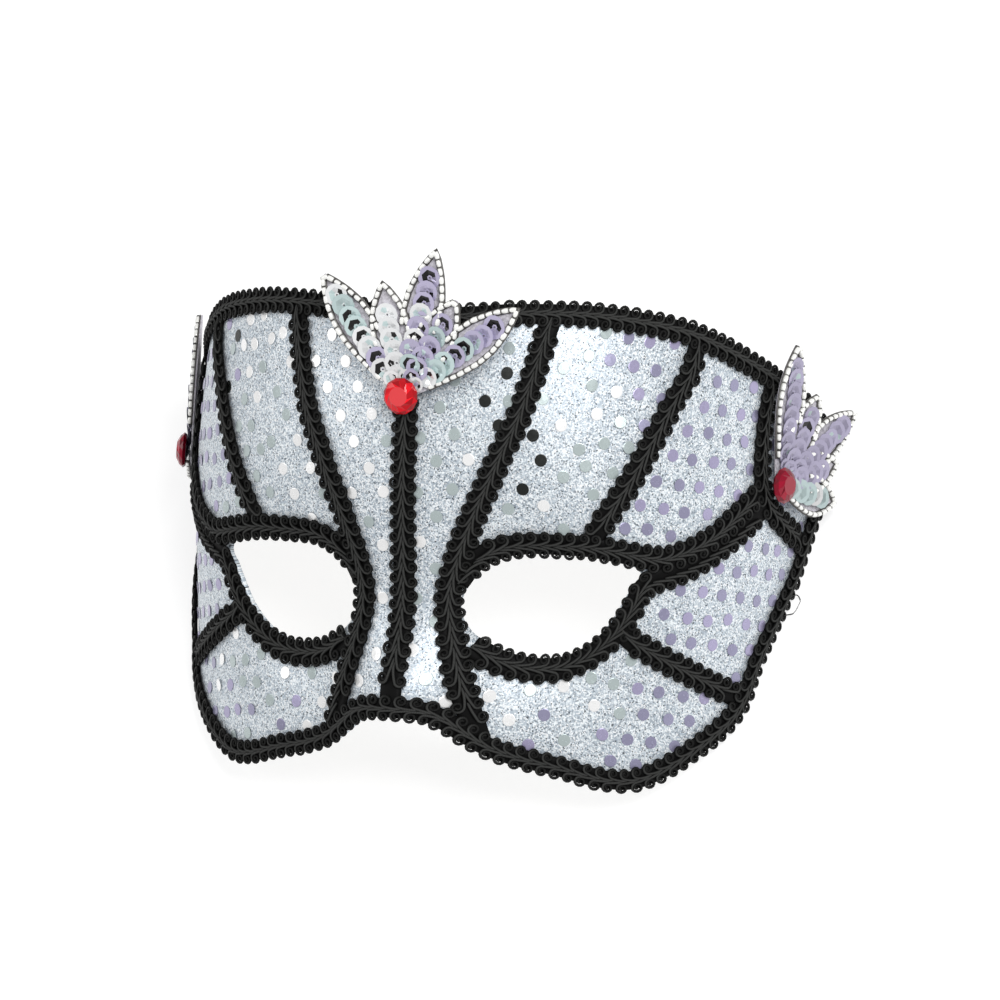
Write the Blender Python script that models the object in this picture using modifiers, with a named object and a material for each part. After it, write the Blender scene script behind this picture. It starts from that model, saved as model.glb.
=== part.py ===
"""Carnival half mask: a moulded shell with braid along its edges and ribs, three sequin fans and their stones.

The pieces are laid out flat, as a pattern: "along" is the distance from the middle of the nose, measured
round the face, "up" is the height above the line of the eyes, and "rise" stands off the shell's surface.
Each flat piece is trimmed against its neighbours and then pressed over the mould. The worn mask looks
along -Y. At the end it is tilted back to the way it lies on a table by itself.
"""

import math

import bmesh
import bpy
import numpy as np
from mathutils import Matrix, Vector
from mathutils.geometry import delaunay_2d_cdt

# The mould, in metres
FACE_HALF_WIDTH = 0.0835
FACE_DEPTH = 0.076
SIDE_FLARE = math.radians(11)
FOREHEAD_LEAN = 0.0105
FOREHEAD_LEAN_START = 0.015
FOREHEAD_NARROWING = 0.055
CHEEK_TUCK = 0.001
CHEEK_WIDENING = 0.028
CHEEK_TUCK_START = -0.025
NOSE_RISE = 0.011
NOSE_HALF_WIDTH = 0.0162
NOSE_TIP_DROP = 0.024
NOSE_BRIDGE_LENGTH = 0.016
SOCKET_DEPTH = 0.009
SOCKET_ALONG = 0.032
SOCKET_HALF_LENGTH = 0.017
SOCKET_HALF_HEIGHT = 0.020

# The pattern
MASK_REACH = 0.137
CROWN_HEIGHT = 0.077
CHEEK_DROP = 0.0487
EYE_ALONG = 0.038
EYE_HALF_LENGTH = 0.0226
EYE_HALF_HEIGHT = 0.0125
SHELL_THICKNESS = 0.0014

# The braid
BRAID_WIDTH = 0.0079
EDGE_BRAID_WIDTH = 0.0072
BRAID_THICKNESS = 0.0013
EDGE_OUTSET = 0.0010
EDGE_OVERLAP = 0.0015
EYE_OVERLAP = 0.0012
CLEARANCE = 0.0003

# The fans and their stones
FAN_LENGTH = 0.038
LEAF_WIDTH = 0.0108
LEAF_EDGE_THICKNESS = 0.0008
LEAF_CROWN_THICKNESS = 0.0014
LEAF_STAGGER = 0.00006
FAN_HUB_RADIUS = 0.0045
FAN_HUB_THICKNESS = 0.0014
CENTRE_FAN_FLARE = math.radians(8)
SIDE_FAN_FLARE = math.radians(2)
CENTRE_FAN_UP = 0.0537
SIDE_FAN_ALONG = 0.1055
SIDE_FAN_UP = 0.0257
CENTRE_FAN_TURN = math.radians(77)
SIDE_FAN_TURN = math.radians(21)
STONE_RADIUS = 0.00475
STONE_HEIGHT = 0.0025
STONE_FACETS = 12

# How the mask lies
REST_FLATTENING = 0.0005

# Mesh spacing
SHELL_PITCH = 0.0058
FACE_PITCH = 0.0040
BRAID_PITCH = 0.0042
CURVE_STEPS = 12

# Outer edge of the edge braid, right half from the crown to below the nose.
# Columns: along as a share of MASK_REACH, up as a share of CROWN_HEIGHT or CHEEK_DROP.
EDGE = [
    (0.000, 0.984), (0.105, 0.990), (0.204, 1.000), (0.336, 0.991), (0.445, 0.961), (0.547, 0.916),
    (0.631, 0.855), (0.715, 0.783), (0.788, 0.718), (0.861, 0.649), (0.934, 0.578), (0.985, 0.500),
    (1.000, 0.400), (0.985, 0.292), (0.955, 0.195), (0.910, 0.090), (0.860, -0.040), (0.811, -0.170),
    (0.762, -0.318), (0.727, -0.440), (0.700, -0.570), (0.660, -0.690), (0.610, -0.778), (0.555, -0.855),
    (0.489, -0.940), (0.423, -0.992), (0.358, -0.975), (0.277, -0.900), (0.204, -0.842), (0.150, -0.778),
    (0.108, -0.690), (0.070, -0.600), (0.033, -0.560),
]

# Rim of the right eye opening, from its inner corner over the top.
# Columns: along and up from the opening's middle, as shares of its half length and half height.
EYE = [
    (-1.000, 0.000), (-0.940, 0.360), (-0.800, 0.710), (-0.575, 0.920), (-0.310, 0.980), (0.040, 0.960),
    (0.400, 0.920), (0.750, 0.790), (1.000, 0.610), (0.890, 0.380), (0.770, 0.080), (0.600, -0.340),
    (0.390, -0.680), (0.180, -0.900), (-0.040, -1.010), (-0.310, -1.000), (-0.575, -0.860), (-0.820, -0.580),
    (-0.950, -0.300),
]
EYE_TOP_ROWS = (1, 7)
EYE_LOWER_ROWS = (17, 10)

# Centre lines of the ribs on the right half, with the columns of EDGE.
CENTRE_LINE = [(0.000, 0.790), (0.000, 0.400), (0.000, 0.000), (0.000, -0.400), (0.000, -0.800)]
NOSE_LINE = [
    (0.277, 0.980), (0.263, 0.896), (0.250, 0.812), (0.228, 0.686), (0.207, 0.591), (0.184, 0.510),
    (0.158, 0.409), (0.138, 0.338), (0.120, 0.262), (0.098, 0.162), (0.084, 0.065), (0.082, 0.000),
    (0.088, -0.123), (0.098, -0.246), (0.111, -0.380), (0.125, -0.503), (0.138, -0.626), (0.152, -0.800),
]
BROW_LINE = [
    (0.588, 0.940), (0.574, 0.831), (0.558, 0.747), (0.531, 0.682), (0.500, 0.601), (0.456, 0.478),
    (0.419, 0.383), (0.387, 0.312), (0.361, 0.247), (0.340, 0.182),
]
TEMPLE_LINE = [
    (0.796, 0.780), (0.777, 0.662), (0.758, 0.571), (0.746, 0.481), (0.739, 0.390), (0.742, 0.318),
    (0.758, 0.257), (0.792, 0.201), (0.836, 0.147), (0.887, 0.090), (0.945, 0.032),
]
UPPER_EYE_TAIL = [
    (0.482, 0.147), (0.526, 0.156), (0.572, 0.178), (0.618, 0.213), (0.667, 0.264), (0.708, 0.303),
    (0.745, 0.331),
]
LOWER_EYE_TAIL = [
    (0.446, 0.042), (0.466, 0.070), (0.502, 0.086), (0.555, 0.112), (0.613, 0.156), (0.664, 0.199),
    (0.715, 0.244), (0.752, 0.273),
]
CHEEK_LINE = [(0.400, -0.110), (0.427, -0.190), (0.489, -0.300), (0.572, -0.435), (0.668, -0.585), (0.720, -0.670)]

# Leaves of a fan. Columns: angle from the fan's middle leaf in degrees, length as a share of FAN_LENGTH.
FOREHEAD_LEAVES = [(50, 0.98), (25, 0.76), (0, 1.00), (-17, 0.75), (-40, 1.02)]
TEMPLE_LEAVES = [(50, 0.97), (25, 0.75), (0, 1.00), (-17, 0.68), (-40, 0.66)]

# Half width of a leaf along its length. Columns: share of the length, share of half of LEAF_WIDTH.
LEAF_OUTLINE = [
    (0.06, 0.30), (0.22, 0.58), (0.40, 0.86), (0.56, 1.00), (0.70, 0.94), (0.83, 0.68), (0.93, 0.36), (1.00, 0.09),
]

# Section across a braid. Columns: across as a share of the half width, rise as a share of the thickness.
BRAID_SECTION = [(-1.0, 0.0), (0.0, 0.0), (1.0, 0.0), (1.0, 0.6), (0.5, 1.0), (-0.5, 1.0), (-1.0, 0.6)]

# Rings of a stone. Columns: radius and height as shares of the stone's, turn in facets.
STONE_RINGS = [(0.92, 0.00, 0.0), (1.00, 0.30, 0.0), (0.82, 0.72, 0.5), (0.56, 1.00, 0.0)]

# Materials: base colour, roughness, metallic
SILVER_CLOTH = ("silver cloth", (0.62, 0.70, 0.78, 1.0), 0.42, 0.35)
BLACK_BRAID = ("black braid", (0.012, 0.012, 0.013, 1.0), 0.62, 0.0)
SEQUINS = ("sequins", (0.78, 0.76, 0.84, 1.0), 0.22, 0.80)
RED_STONE = ("red stone", (0.62, 0.015, 0.03, 1.0), 0.08, 0.0)


# The mould

FLARE_TURN = math.atan(math.tan(math.pi / 2 - SIDE_FLARE) * FACE_HALF_WIDTH / FACE_DEPTH)
FRONT_TURNS = np.linspace(0.0, FLARE_TURN, 1200)
TURN_STEP = FRONT_TURNS[1]
FRONT_SPEEDS = np.hypot(FACE_HALF_WIDTH * np.cos(FRONT_TURNS), FACE_DEPTH * np.sin(FRONT_TURNS))
FRONT_ARCS = np.concatenate([[0.0], np.cumsum((FRONT_SPEEDS[1:] + FRONT_SPEEDS[:-1]) * TURN_STEP / 2)])


def swell(offset):
    """A smooth hump that is 1 at offset 0 and dies away past 1."""
    return np.exp(-offset * offset)


def surface(along, up):
    """Points of the shell's outer face: an elliptic front curve with straight flared sides, then the
    forehead's lean, the cheeks' tuck, the nose and the eye sockets, all as moves along Y."""
    reach = np.abs(along)
    turn = np.interp(reach, FRONT_ARCS, FRONT_TURNS)
    side = np.maximum(reach - FRONT_ARCS[-1], 0.0)
    lean = np.maximum(up - FOREHEAD_LEAN_START, 0.0) / (CROWN_HEIGHT - FOREHEAD_LEAN_START)
    x = np.sign(along) * (FACE_HALF_WIDTH * np.sin(turn) + side * math.sin(SIDE_FLARE))
    tuck = np.maximum(CHEEK_TUCK_START - up, 0.0) / (CHEEK_DROP + CHEEK_TUCK_START)
    x = x * (1.0 - FOREHEAD_NARROWING * lean + CHEEK_WIDENING * tuck)
    y = FACE_DEPTH * (1.0 - np.cos(turn)) + side * math.cos(SIDE_FLARE)
    bridge = np.maximum(up + NOSE_TIP_DROP, 0.0) / NOSE_BRIDGE_LENGTH
    nose = swell(along / NOSE_HALF_WIDTH) * swell(bridge)
    socket = swell((reach - SOCKET_ALONG) / SOCKET_HALF_LENGTH) * swell(up / SOCKET_HALF_HEIGHT)
    y = y + FOREHEAD_LEAN * lean ** 2.2 + CHEEK_TUCK * tuck ** 2 - NOSE_RISE * nose + SOCKET_DEPTH * socket
    return np.stack([x, y, up], axis=-1)


def outward(along, up):
    """Unit normals of the shell's outer face, from differences of nearby surface points."""
    near = 0.0001
    across = surface(along + near, up) - surface(along - near, up)
    upward = surface(along, up + near) - surface(along, up - near)
    normal = np.cross(across, upward)
    return normal / np.linalg.norm(normal, axis=-1, keepdims=True)


def press(flat):
    """Carry pattern points (along, up, rise) over the mould."""
    along, up, rise = flat[:, 0], flat[:, 1], flat[:, 2:3]
    return surface(along, up) + rise * outward(along, up)


# Curves in the pattern

def pattern_points(table):
    """Rows of shares of the mask's sizes as (along, up) in metres."""
    return np.array([(a * MASK_REACH, u * (CROWN_HEIGHT if u > 0 else CHEEK_DROP)) for a, u in table])


def eye_points():
    """The table of the eye opening as (along, up) in metres."""
    return np.array([(EYE_ALONG + a * EYE_HALF_LENGTH, u * EYE_HALF_HEIGHT) for a, u in EYE])


def smooth(points, closed=False):
    """A Catmull-Rom curve through the points."""
    if closed:
        padded = np.concatenate([points[-1:], points, points[:2]])
    else:
        padded = np.concatenate([2 * points[:1] - points[1:2], points, 2 * points[-1:] - points[-2:-1]])
    t = (np.arange(CURVE_STEPS) / CURVE_STEPS)[:, None]
    runs = []
    for a, b, c, d in zip(padded, padded[1:], padded[2:], padded[3:]):
        runs.append(b + t * (c - a) / 2 + t ** 2 * (2 * a - 5 * b + 4 * c - d) / 2 + t ** 3 * (3 * b - a - 3 * c + d) / 2)
    if not closed:
        runs.append(padded[-2:-1])
    return np.concatenate(runs)


def evenly(curve, pitch, closed=False):
    """The curve again, with its points at an even spacing near the pitch."""
    if closed:
        curve = np.concatenate([curve, curve[:1]])
    lengths = np.linalg.norm(np.diff(curve, axis=0), axis=1)
    arc = np.concatenate([[0.0], np.cumsum(lengths)])
    count = max(3, round(arc[-1] / pitch))
    stations = np.linspace(0.0, arc[-1], count + 1)
    if closed:
        stations = stations[:-1]
    return np.stack([np.interp(stations, arc, curve[:, i]) for i in range(2)], axis=-1)


def left_of(curve, closed=False):
    """Unit vectors in the pattern that point to the left of the curve's direction."""
    if closed:
        direction = np.roll(curve, -1, axis=0) - np.roll(curve, 1, axis=0)
    else:
        direction = np.gradient(curve, axis=0)
    direction /= np.linalg.norm(direction, axis=1, keepdims=True)
    return np.stack([-direction[:, 1], direction[:, 0]], axis=-1)


def beside(curve, distance, closed=False):
    """The curve moved sideways, to its left where the distance is positive."""
    return curve + distance * left_of(curve, closed)


def mirrored(points):
    """The same pattern points on the left half."""
    return points * np.array([-1.0, 1.0])


def edge_curve():
    """Outer edge of the edge braid, clockwise from the crown as the mask is seen from the front."""
    right = pattern_points(EDGE)
    left = mirrored(right[:0:-1])
    return smooth(np.concatenate([right, left]), closed=True)


def edge_braid_curve():
    """Centre line of the edge braid, inside its outer edge, at the stations that the shell's edge shares."""
    return evenly(beside(edge_curve(), EDGE_OUTSET - EDGE_BRAID_WIDTH / 2, closed=True), BRAID_PITCH, closed=True)


def eye_braid_start(rows):
    """Points beside the eye opening that a braid follows, from the inner corner to the outer one."""
    points = eye_points()
    first, last = rows
    step = 1 if last > first else -1
    near = beside(points, BRAID_WIDTH / 2, closed=True)
    return near[first:last + step:step]


def rib_curves():
    """Centre lines of the right half's ribs, by name, in the order in which they are trimmed."""
    return {
        "nose_braid": smooth(pattern_points(NOSE_LINE)),
        "temple_braid": smooth(pattern_points(TEMPLE_LINE)),
        "upper_eye_braid": smooth(np.concatenate([eye_braid_start(EYE_TOP_ROWS), pattern_points(UPPER_EYE_TAIL)])),
        "lower_eye_braid": smooth(np.concatenate([eye_braid_start(EYE_LOWER_ROWS), pattern_points(LOWER_EYE_TAIL)])),
        "brow_braid": smooth(pattern_points(BROW_LINE)),
        "cheek_braid": smooth(pattern_points(CHEEK_LINE)),
    }


# Meshes

def mesh_object(name, vertices, faces):
    """A new object in the mask's collection."""
    mesh = bpy.data.meshes.new(name)
    mesh.from_pydata([tuple(v) for v in vertices], [], [tuple(f) for f in faces])
    piece = bpy.data.objects.new(name, mesh)
    bpy.data.collections["carnival_mask"].objects.link(piece)
    return piece


def edit(piece, work):
    """Run a bmesh function on a piece's own mesh."""
    mesh = bmesh.new()
    mesh.from_mesh(piece.data)
    work(mesh)
    mesh.to_mesh(piece.data)
    mesh.free()


def face_out(mesh):
    """Turn every face outwards and split it into triangles."""
    bmesh.ops.recalc_face_normals(mesh, faces=mesh.faces)
    bmesh.ops.triangulate(mesh, faces=mesh.faces)


def loft(name, sections, closed=False):
    """A solid through like sections, an array of (section, corner, xyz), capped unless it closes on itself."""
    count, corners = sections.shape[:2]
    faces = []
    for i in range(count if closed else count - 1):
        j = (i + 1) % count
        for a in range(corners):
            b = (a + 1) % corners
            faces.append((i * corners + a, i * corners + b, j * corners + b, j * corners + a))
    if not closed:
        faces.append(range(corners))
        faces.append(range((count - 1) * corners, count * corners))
    piece = mesh_object(name, sections.reshape(-1, 3), faces)
    edit(piece, lambda mesh: bmesh.ops.recalc_face_normals(mesh, faces=mesh.faces))
    return piece


def applied(piece):
    """Replace a piece's mesh by what its modifiers make of it."""
    graph = bpy.context.evaluated_depsgraph_get()
    result = bpy.data.meshes.new_from_object(piece.evaluated_get(graph))
    piece.modifiers.clear()
    piece.data = result


def trim(piece, tool, operation="DIFFERENCE"):
    """Cut a piece by a tool, or keep what lies inside it."""
    modifier = piece.modifiers.new("Trim", "BOOLEAN")
    modifier.operation = operation
    modifier.solver = "EXACT"
    modifier.object = tool
    applied(piece)


def braid_band(name, curve, width=BRAID_WIDTH, closed=False):
    """A flat length of braid, a clearance above the pattern."""
    route = evenly(curve, BRAID_PITCH, closed)
    side = left_of(route, closed)
    across = np.array([c for c, _ in BRAID_SECTION]) * width / 2
    rise = np.array([r for _, r in BRAID_SECTION]) * BRAID_THICKNESS + CLEARANCE
    flat = route[:, None, :] + side[:, None, :] * across[None, :, None]
    sections = np.concatenate([flat, np.broadcast_to(rise[None, :, None], flat.shape[:2] + (1,))], axis=2)
    return loft(name, sections, closed)


def room_for(name, curve):
    """A cutter for what meets a braid: its band grown by the clearance, past its faces and ends."""
    route = evenly(curve, BRAID_PITCH)
    start = route[:1] * 2 - route[1:2]
    end = route[-1:] * 2 - route[-2:-1]
    route = np.concatenate([start, route, end])
    side = left_of(route) * (BRAID_WIDTH / 2 + CLEARANCE)
    height = BRAID_THICKNESS * 2
    corners = [(1, -height), (1, height), (-1, height), (-1, -height)]
    sections = np.stack(
        [np.concatenate([route + side * s, np.full((len(route), 1), h)], axis=1) for s, h in corners], axis=1
    )
    return loft(name, sections)


def field_inside_edge():
    """A prism of the pattern inside the edge braid, a clearance away from it."""
    outline = beside(edge_braid_curve(), -EDGE_BRAID_WIDTH / 2 - CLEARANCE, closed=True)
    height = BRAID_THICKNESS * 2
    sections = np.stack([np.pad(outline, ((0, 0), (0, 1)), constant_values=h) for h in (-height, height)])
    return loft("field", sections)


def press_piece(piece):
    """Press a flat piece over the mould."""
    edit(piece, face_out)
    flat = np.array([v.co[:] for v in piece.data.vertices])
    piece.data.vertices.foreach_set("co", press(flat).ravel())
    piece.data.update()


def mirror_copy(piece, name):
    """The left twin of a right piece."""
    mesh = piece.data.copy()
    mesh.name = name
    mesh.transform(Matrix.Scale(-1, 4, Vector((1, 0, 0))))
    mesh.flip_normals()
    twin = bpy.data.objects.new(name, mesh)
    twin.matrix_world = piece.matrix_world
    bpy.data.collections["carnival_mask"].objects.link(twin)
    return twin


# The shell

def inside(points, loop):
    """Which points lie inside a closed loop, by counting the loop's crossings to the right of each."""
    x, y = points[:, 0:1], points[:, 1:2]
    x0, y0 = loop[:, 0], loop[:, 1]
    x1, y1 = np.roll(x0, -1), np.roll(y0, -1)
    spans = (y0 > y) != (y1 > y)
    rise = np.where(y1 == y0, 1.0, y1 - y0)
    crossings = spans & (x < x0 + (y - y0) * (x1 - x0) / rise)
    return crossings.sum(axis=1) % 2 == 1


def shell_fill(loops):
    """Points on staggered rows inside the shell, closer together round the nose and eyes."""
    half_length = MASK_REACH
    kept = np.concatenate(loops)
    fill = []
    for pitch in (FACE_PITCH, SHELL_PITCH):
        row_step = pitch * math.sqrt(3) / 2
        rows = np.arange(-CHEEK_DROP, CROWN_HEIGHT, row_step)
        columns = np.arange(-half_length, half_length, pitch)
        grid = np.array([(c + (i % 2) * pitch / 2, r) for i, r in enumerate(rows) for c in columns])
        face = (np.abs(grid[:, 0]) < NOSE_HALF_WIDTH * 1.6) & (grid[:, 1] < NOSE_BRIDGE_LENGTH)
        grid = grid[face if pitch == FACE_PITCH else ~face]
        within = inside(grid, loops[0]) & ~inside(grid, loops[1]) & ~inside(grid, loops[2])
        grid = grid[within]
        room = np.linalg.norm(grid[:, None] - kept[None], axis=2).min(axis=1)
        grid = grid[room > 0.62 * pitch]
        fill.append(grid)
        kept = np.concatenate([kept, grid])
    return np.concatenate(fill)


def make_shell():
    """The moulded half mask with both eye holes, as an open sheet given its wall by Solidify."""
    edge = beside(edge_braid_curve(), EDGE_BRAID_WIDTH / 2 - EDGE_OVERLAP, closed=True)
    eye = evenly(beside(smooth(eye_points(), closed=True), EYE_OVERLAP, closed=True), FACE_PITCH, closed=True)
    loops = [edge, eye, mirrored(eye)[::-1]]
    points = np.concatenate(loops + [shell_fill(loops)])
    borders = []
    start = 0
    for loop in loops:
        ring = np.arange(start, start + len(loop))
        borders += list(zip(ring.tolist(), np.roll(ring, -1).tolist()))
        start += len(loop)
    corners, _, faces = delaunay_2d_cdt([Vector(p) for p in points], borders, [], 0, 1e-7)[:3]
    corners = np.array([c[:] for c in corners])
    faces = np.array(faces)
    middle = corners[faces].mean(axis=1)
    faces = faces[inside(middle, edge) & ~inside(middle, eye) & ~inside(middle, mirrored(eye))]
    flat = np.pad(corners, ((0, 0), (0, 1)))
    shell = mesh_object("mask_shell", press(flat), faces)
    wall = shell.modifiers.new("Wall", "SOLIDIFY")
    wall.thickness = SHELL_THICKNESS
    wall.offset = -1.0
    wall.use_even_offset = True
    edit(shell, lambda mesh: bmesh.ops.delete(mesh, geom=[v for v in mesh.verts if not v.link_faces], context="VERTS"))
    return shell


# The braid

def make_braids():
    """The edge braid and all ribs, each trimmed where it meets another and pressed over the mould."""
    edge = braid_band("rim_braid", edge_braid_curve(), EDGE_BRAID_WIDTH, closed=True)
    press_piece(edge)
    field = field_inside_edge()
    centre = braid_band("centre_braid", smooth(pattern_points(CENTRE_LINE)))
    trim(centre, field, "INTERSECT")
    press_piece(centre)
    braids = [edge, centre]
    tools = []
    for name, curve in rib_curves().items():
        rib = braid_band(name + "_right", curve)
        trim(rib, field, "INTERSECT")
        for tool in tools:
            trim(rib, tool)
        tools.append(room_for(name + "_room", curve))
        press_piece(rib)
        braids += [rib, mirror_copy(rib, name + "_left")]
    for tool in tools + [field]:
        bpy.data.objects.remove(tool)
    return braids


# The fans and stones

def make_leaf(angle, length, layer):
    """One pointed leaf, thicker along its middle, lying from the fan's hub outwards."""
    sections = []
    for share, width in LEAF_OUTLINE:
        half = width * LEAF_WIDTH / 2
        crown = LEAF_EDGE_THICKNESS + width * (LEAF_CROWN_THICKNESS - LEAF_EDGE_THICKNESS)
        x = share * length
        sections.append([
            (x, -half, 0.0), (x, half, 0.0), (x, half, LEAF_EDGE_THICKNESS), (x, 0.0, crown),
            (x, -half, LEAF_EDGE_THICKNESS),
        ])
    leaf = loft("leaf", np.array(sections))
    leaf.data.transform(Matrix.Translation((0, 0, layer * LEAF_STAGGER)) @ Matrix.Rotation(angle, 4, "Z"))
    return leaf


def make_fan(name, leaves):
    """Five leaves fused with their hub, flat on the fan's own XY plane with the middle leaf along X."""
    bpy.ops.mesh.primitive_cylinder_add(vertices=20, radius=FAN_HUB_RADIUS, depth=FAN_HUB_THICKNESS)
    fan = bpy.context.object
    fan.name = name
    for collection in fan.users_collection:
        collection.objects.unlink(fan)
    bpy.data.collections["carnival_mask"].objects.link(fan)
    hub_lift = FAN_HUB_THICKNESS / 2 - LEAF_STAGGER
    fan.data.transform(Matrix.Translation((0, 0, hub_lift)))
    for layer, (angle, share) in enumerate(leaves):
        leaf = make_leaf(math.radians(angle), share * FAN_LENGTH, layer)
        trim(fan, leaf, "UNION")
        bpy.data.objects.remove(leaf)
    edit(fan, face_out)
    return fan


def make_stone(name):
    """A round cut stone with a flat back, a girdle, two rows of facets and a table."""
    rings = []
    for radius, height, turn in STONE_RINGS:
        angles = (np.arange(STONE_FACETS) + turn) * 2 * math.pi / STONE_FACETS
        rings.append(np.stack([
            radius * STONE_RADIUS * np.cos(angles),
            radius * STONE_RADIUS * np.sin(angles),
            np.full(STONE_FACETS, height * STONE_HEIGHT),
        ], axis=-1))
    return loft(name, np.array(rings))


def fan_frame(along, up, turn, flare):
    """Where a fan sits: its X axis along the middle leaf, Z off the mask, tipped out by the flare."""
    here = np.array([along]), np.array([up])
    normal = Vector(outward(*here)[0])
    base = Vector(surface(*here)[0])
    side = Vector((0, 0, 1)).cross(normal).normalized()
    upward = normal.cross(side)
    leaf_way = side * math.cos(turn) + upward * math.sin(turn)
    across = normal.cross(leaf_way)
    lift = 2 * CLEARANCE + BRAID_THICKNESS + FAN_HUB_RADIUS * math.tan(flare) + LEAF_STAGGER
    axes = Matrix((leaf_way, across, normal)).transposed().to_4x4()
    return Matrix.Translation(base + normal * lift) @ axes @ Matrix.Rotation(-flare, 4, "Y")


def make_fans():
    """The three like fans with their stones: on the forehead and at both temples."""
    centre_place = fan_frame(0.0, CENTRE_FAN_UP, CENTRE_FAN_TURN, CENTRE_FAN_FLARE)
    side_place = fan_frame(SIDE_FAN_ALONG, SIDE_FAN_UP, SIDE_FAN_TURN, SIDE_FAN_FLARE)
    pieces = []
    for side, place, leaves in (("centre", centre_place, FOREHEAD_LEAVES), ("right", side_place, TEMPLE_LEAVES)):
        fan = make_fan(side + "_fan", leaves)
        stone = make_stone(side + "_stone")
        fan.matrix_world = place
        stone.matrix_world = place @ Matrix.Translation((0, 0, stone_seat()))
        pieces += [fan, stone]
    for right in pieces[2:]:
        left = right.copy()
        left.data = right.data.copy()
        left.name = right.name.replace("right", "left")
        left.data.name = left.name
        flip = Matrix.Scale(-1, 4, Vector((1, 0, 0)))
        own_flip = Matrix.Scale(-1, 4, Vector((0, 1, 0)))
        left.data.transform(own_flip)
        left.data.flip_normals()
        left.matrix_world = flip @ right.matrix_world @ own_flip
        bpy.data.collections["carnival_mask"].objects.link(left)
        pieces.append(left)
    return pieces


def stone_seat():
    """Height of a stone's back above its fan's own plane: a clearance over the hub."""
    return FAN_HUB_THICKNESS - LEAF_STAGGER + CLEARANCE


# Materials and the way the mask lies

def finish(piece, look):
    """Give a piece a plain material."""
    name, colour, roughness, metallic = look
    material = bpy.data.materials.get(name)
    if material is None:
        material = bpy.data.materials.new(name)
        material.use_nodes = True
        shader = material.node_tree.nodes["Principled BSDF"]
        shader.inputs["Base Color"].default_value = colour
        shader.inputs["Roughness"].default_value = roughness
        shader.inputs["Metallic"].default_value = metallic
    piece.data.materials.clear()
    piece.data.materials.append(material)


def lying_tilt(outline, centre):
    """How far the mask tips back when it lies by itself: the tilt that brings its middle lowest."""
    tilts = np.radians(np.arange(20.0, 75.0, 0.02))[:, None]
    offsets = outline - centre
    below = offsets[:, 1] * np.sin(tilts) - offsets[:, 2] * np.cos(tilts)
    return float(tilts[np.argmin(below.max(axis=1)), 0])


def lay_down(pieces, edge):
    """Tip the mask back on its edge braid, flatten the braid where it rests and centre the whole."""
    outline = np.array([v.co[:] for v in edge.data.vertices])
    middle = surface(np.linspace(-MASK_REACH, MASK_REACH, 41), np.full(41, (CROWN_HEIGHT - CHEEK_DROP) / 2)).mean(axis=0)
    tilt = lying_tilt(outline, middle)
    stand = bpy.data.objects.new("lying_mask", None)
    bpy.data.collections["carnival_mask"].objects.link(stand)
    for piece in pieces:
        piece.parent = stand
    stand.rotation_euler.x = -tilt
    bpy.context.view_layer.update()
    lowest = min((edge.matrix_world @ v.co).z for v in edge.data.vertices)
    table = lowest + REST_FLATTENING
    bpy.ops.mesh.primitive_cube_add(size=1.0)
    block = bpy.context.object
    block.scale = (4 * FACE_HALF_WIDTH, 6 * FACE_DEPTH, FACE_DEPTH)
    block.location.z = table - FACE_DEPTH / 2
    bpy.context.view_layer.update()
    trim(edge, block)
    edit(edge, face_out)
    bpy.data.objects.remove(block)
    corners = [piece.matrix_world @ v.co for piece in pieces for v in piece.data.vertices]
    y_values = [c.y for c in corners]
    stand.location = (0.0, -(min(y_values) + max(y_values)) / 2, -table)


def build():
    """Clear the scene and make the mask."""
    for old in list(bpy.data.objects):
        bpy.data.objects.remove(old)
    bpy.context.scene.collection.children.link(bpy.data.collections.new("carnival_mask"))
    shell = make_shell()
    braids = make_braids()
    trims = make_fans()
    finish(shell, SILVER_CLOTH)
    for braid in braids:
        finish(braid, BLACK_BRAID)
    for piece in trims:
        finish(piece, RED_STONE if "stone" in piece.name else SEQUINS)
    applied(shell)
    lay_down([shell] + braids + trims, braids[0])


build()
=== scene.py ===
"""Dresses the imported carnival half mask: silver cloth with spangles, corded black braid along its edges and
ribs, three sequin fans, their cut stones, and a plain stage.

Pieces are drawn in the mask's own pattern, as the part is: "along" is the distance from the middle of the
nose round the face, "up" the height above the line of the eyes, and "rise" stands off the cloth. They are
pressed over the mould and then laid down the way the mask lies.
"""

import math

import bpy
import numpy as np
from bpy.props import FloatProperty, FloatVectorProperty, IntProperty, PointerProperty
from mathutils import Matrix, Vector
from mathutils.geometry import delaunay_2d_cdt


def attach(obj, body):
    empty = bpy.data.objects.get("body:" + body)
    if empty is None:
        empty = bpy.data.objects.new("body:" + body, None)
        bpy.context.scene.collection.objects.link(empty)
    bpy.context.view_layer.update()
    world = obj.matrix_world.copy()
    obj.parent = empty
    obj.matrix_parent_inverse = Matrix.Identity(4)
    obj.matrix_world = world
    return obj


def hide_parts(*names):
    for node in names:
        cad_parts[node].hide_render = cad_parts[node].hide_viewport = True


bl_info = {
    "name": "Carnival Half Mask",
    "version": (1, 0, 0),
    "blender": (4, 5, 0),
    "location": "3D View > Sidebar > Mask",
    "description": "Cloth, spangles, corded braid, sequin fans and cut stones for a carnival half mask",
    "category": "Object",
}

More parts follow.
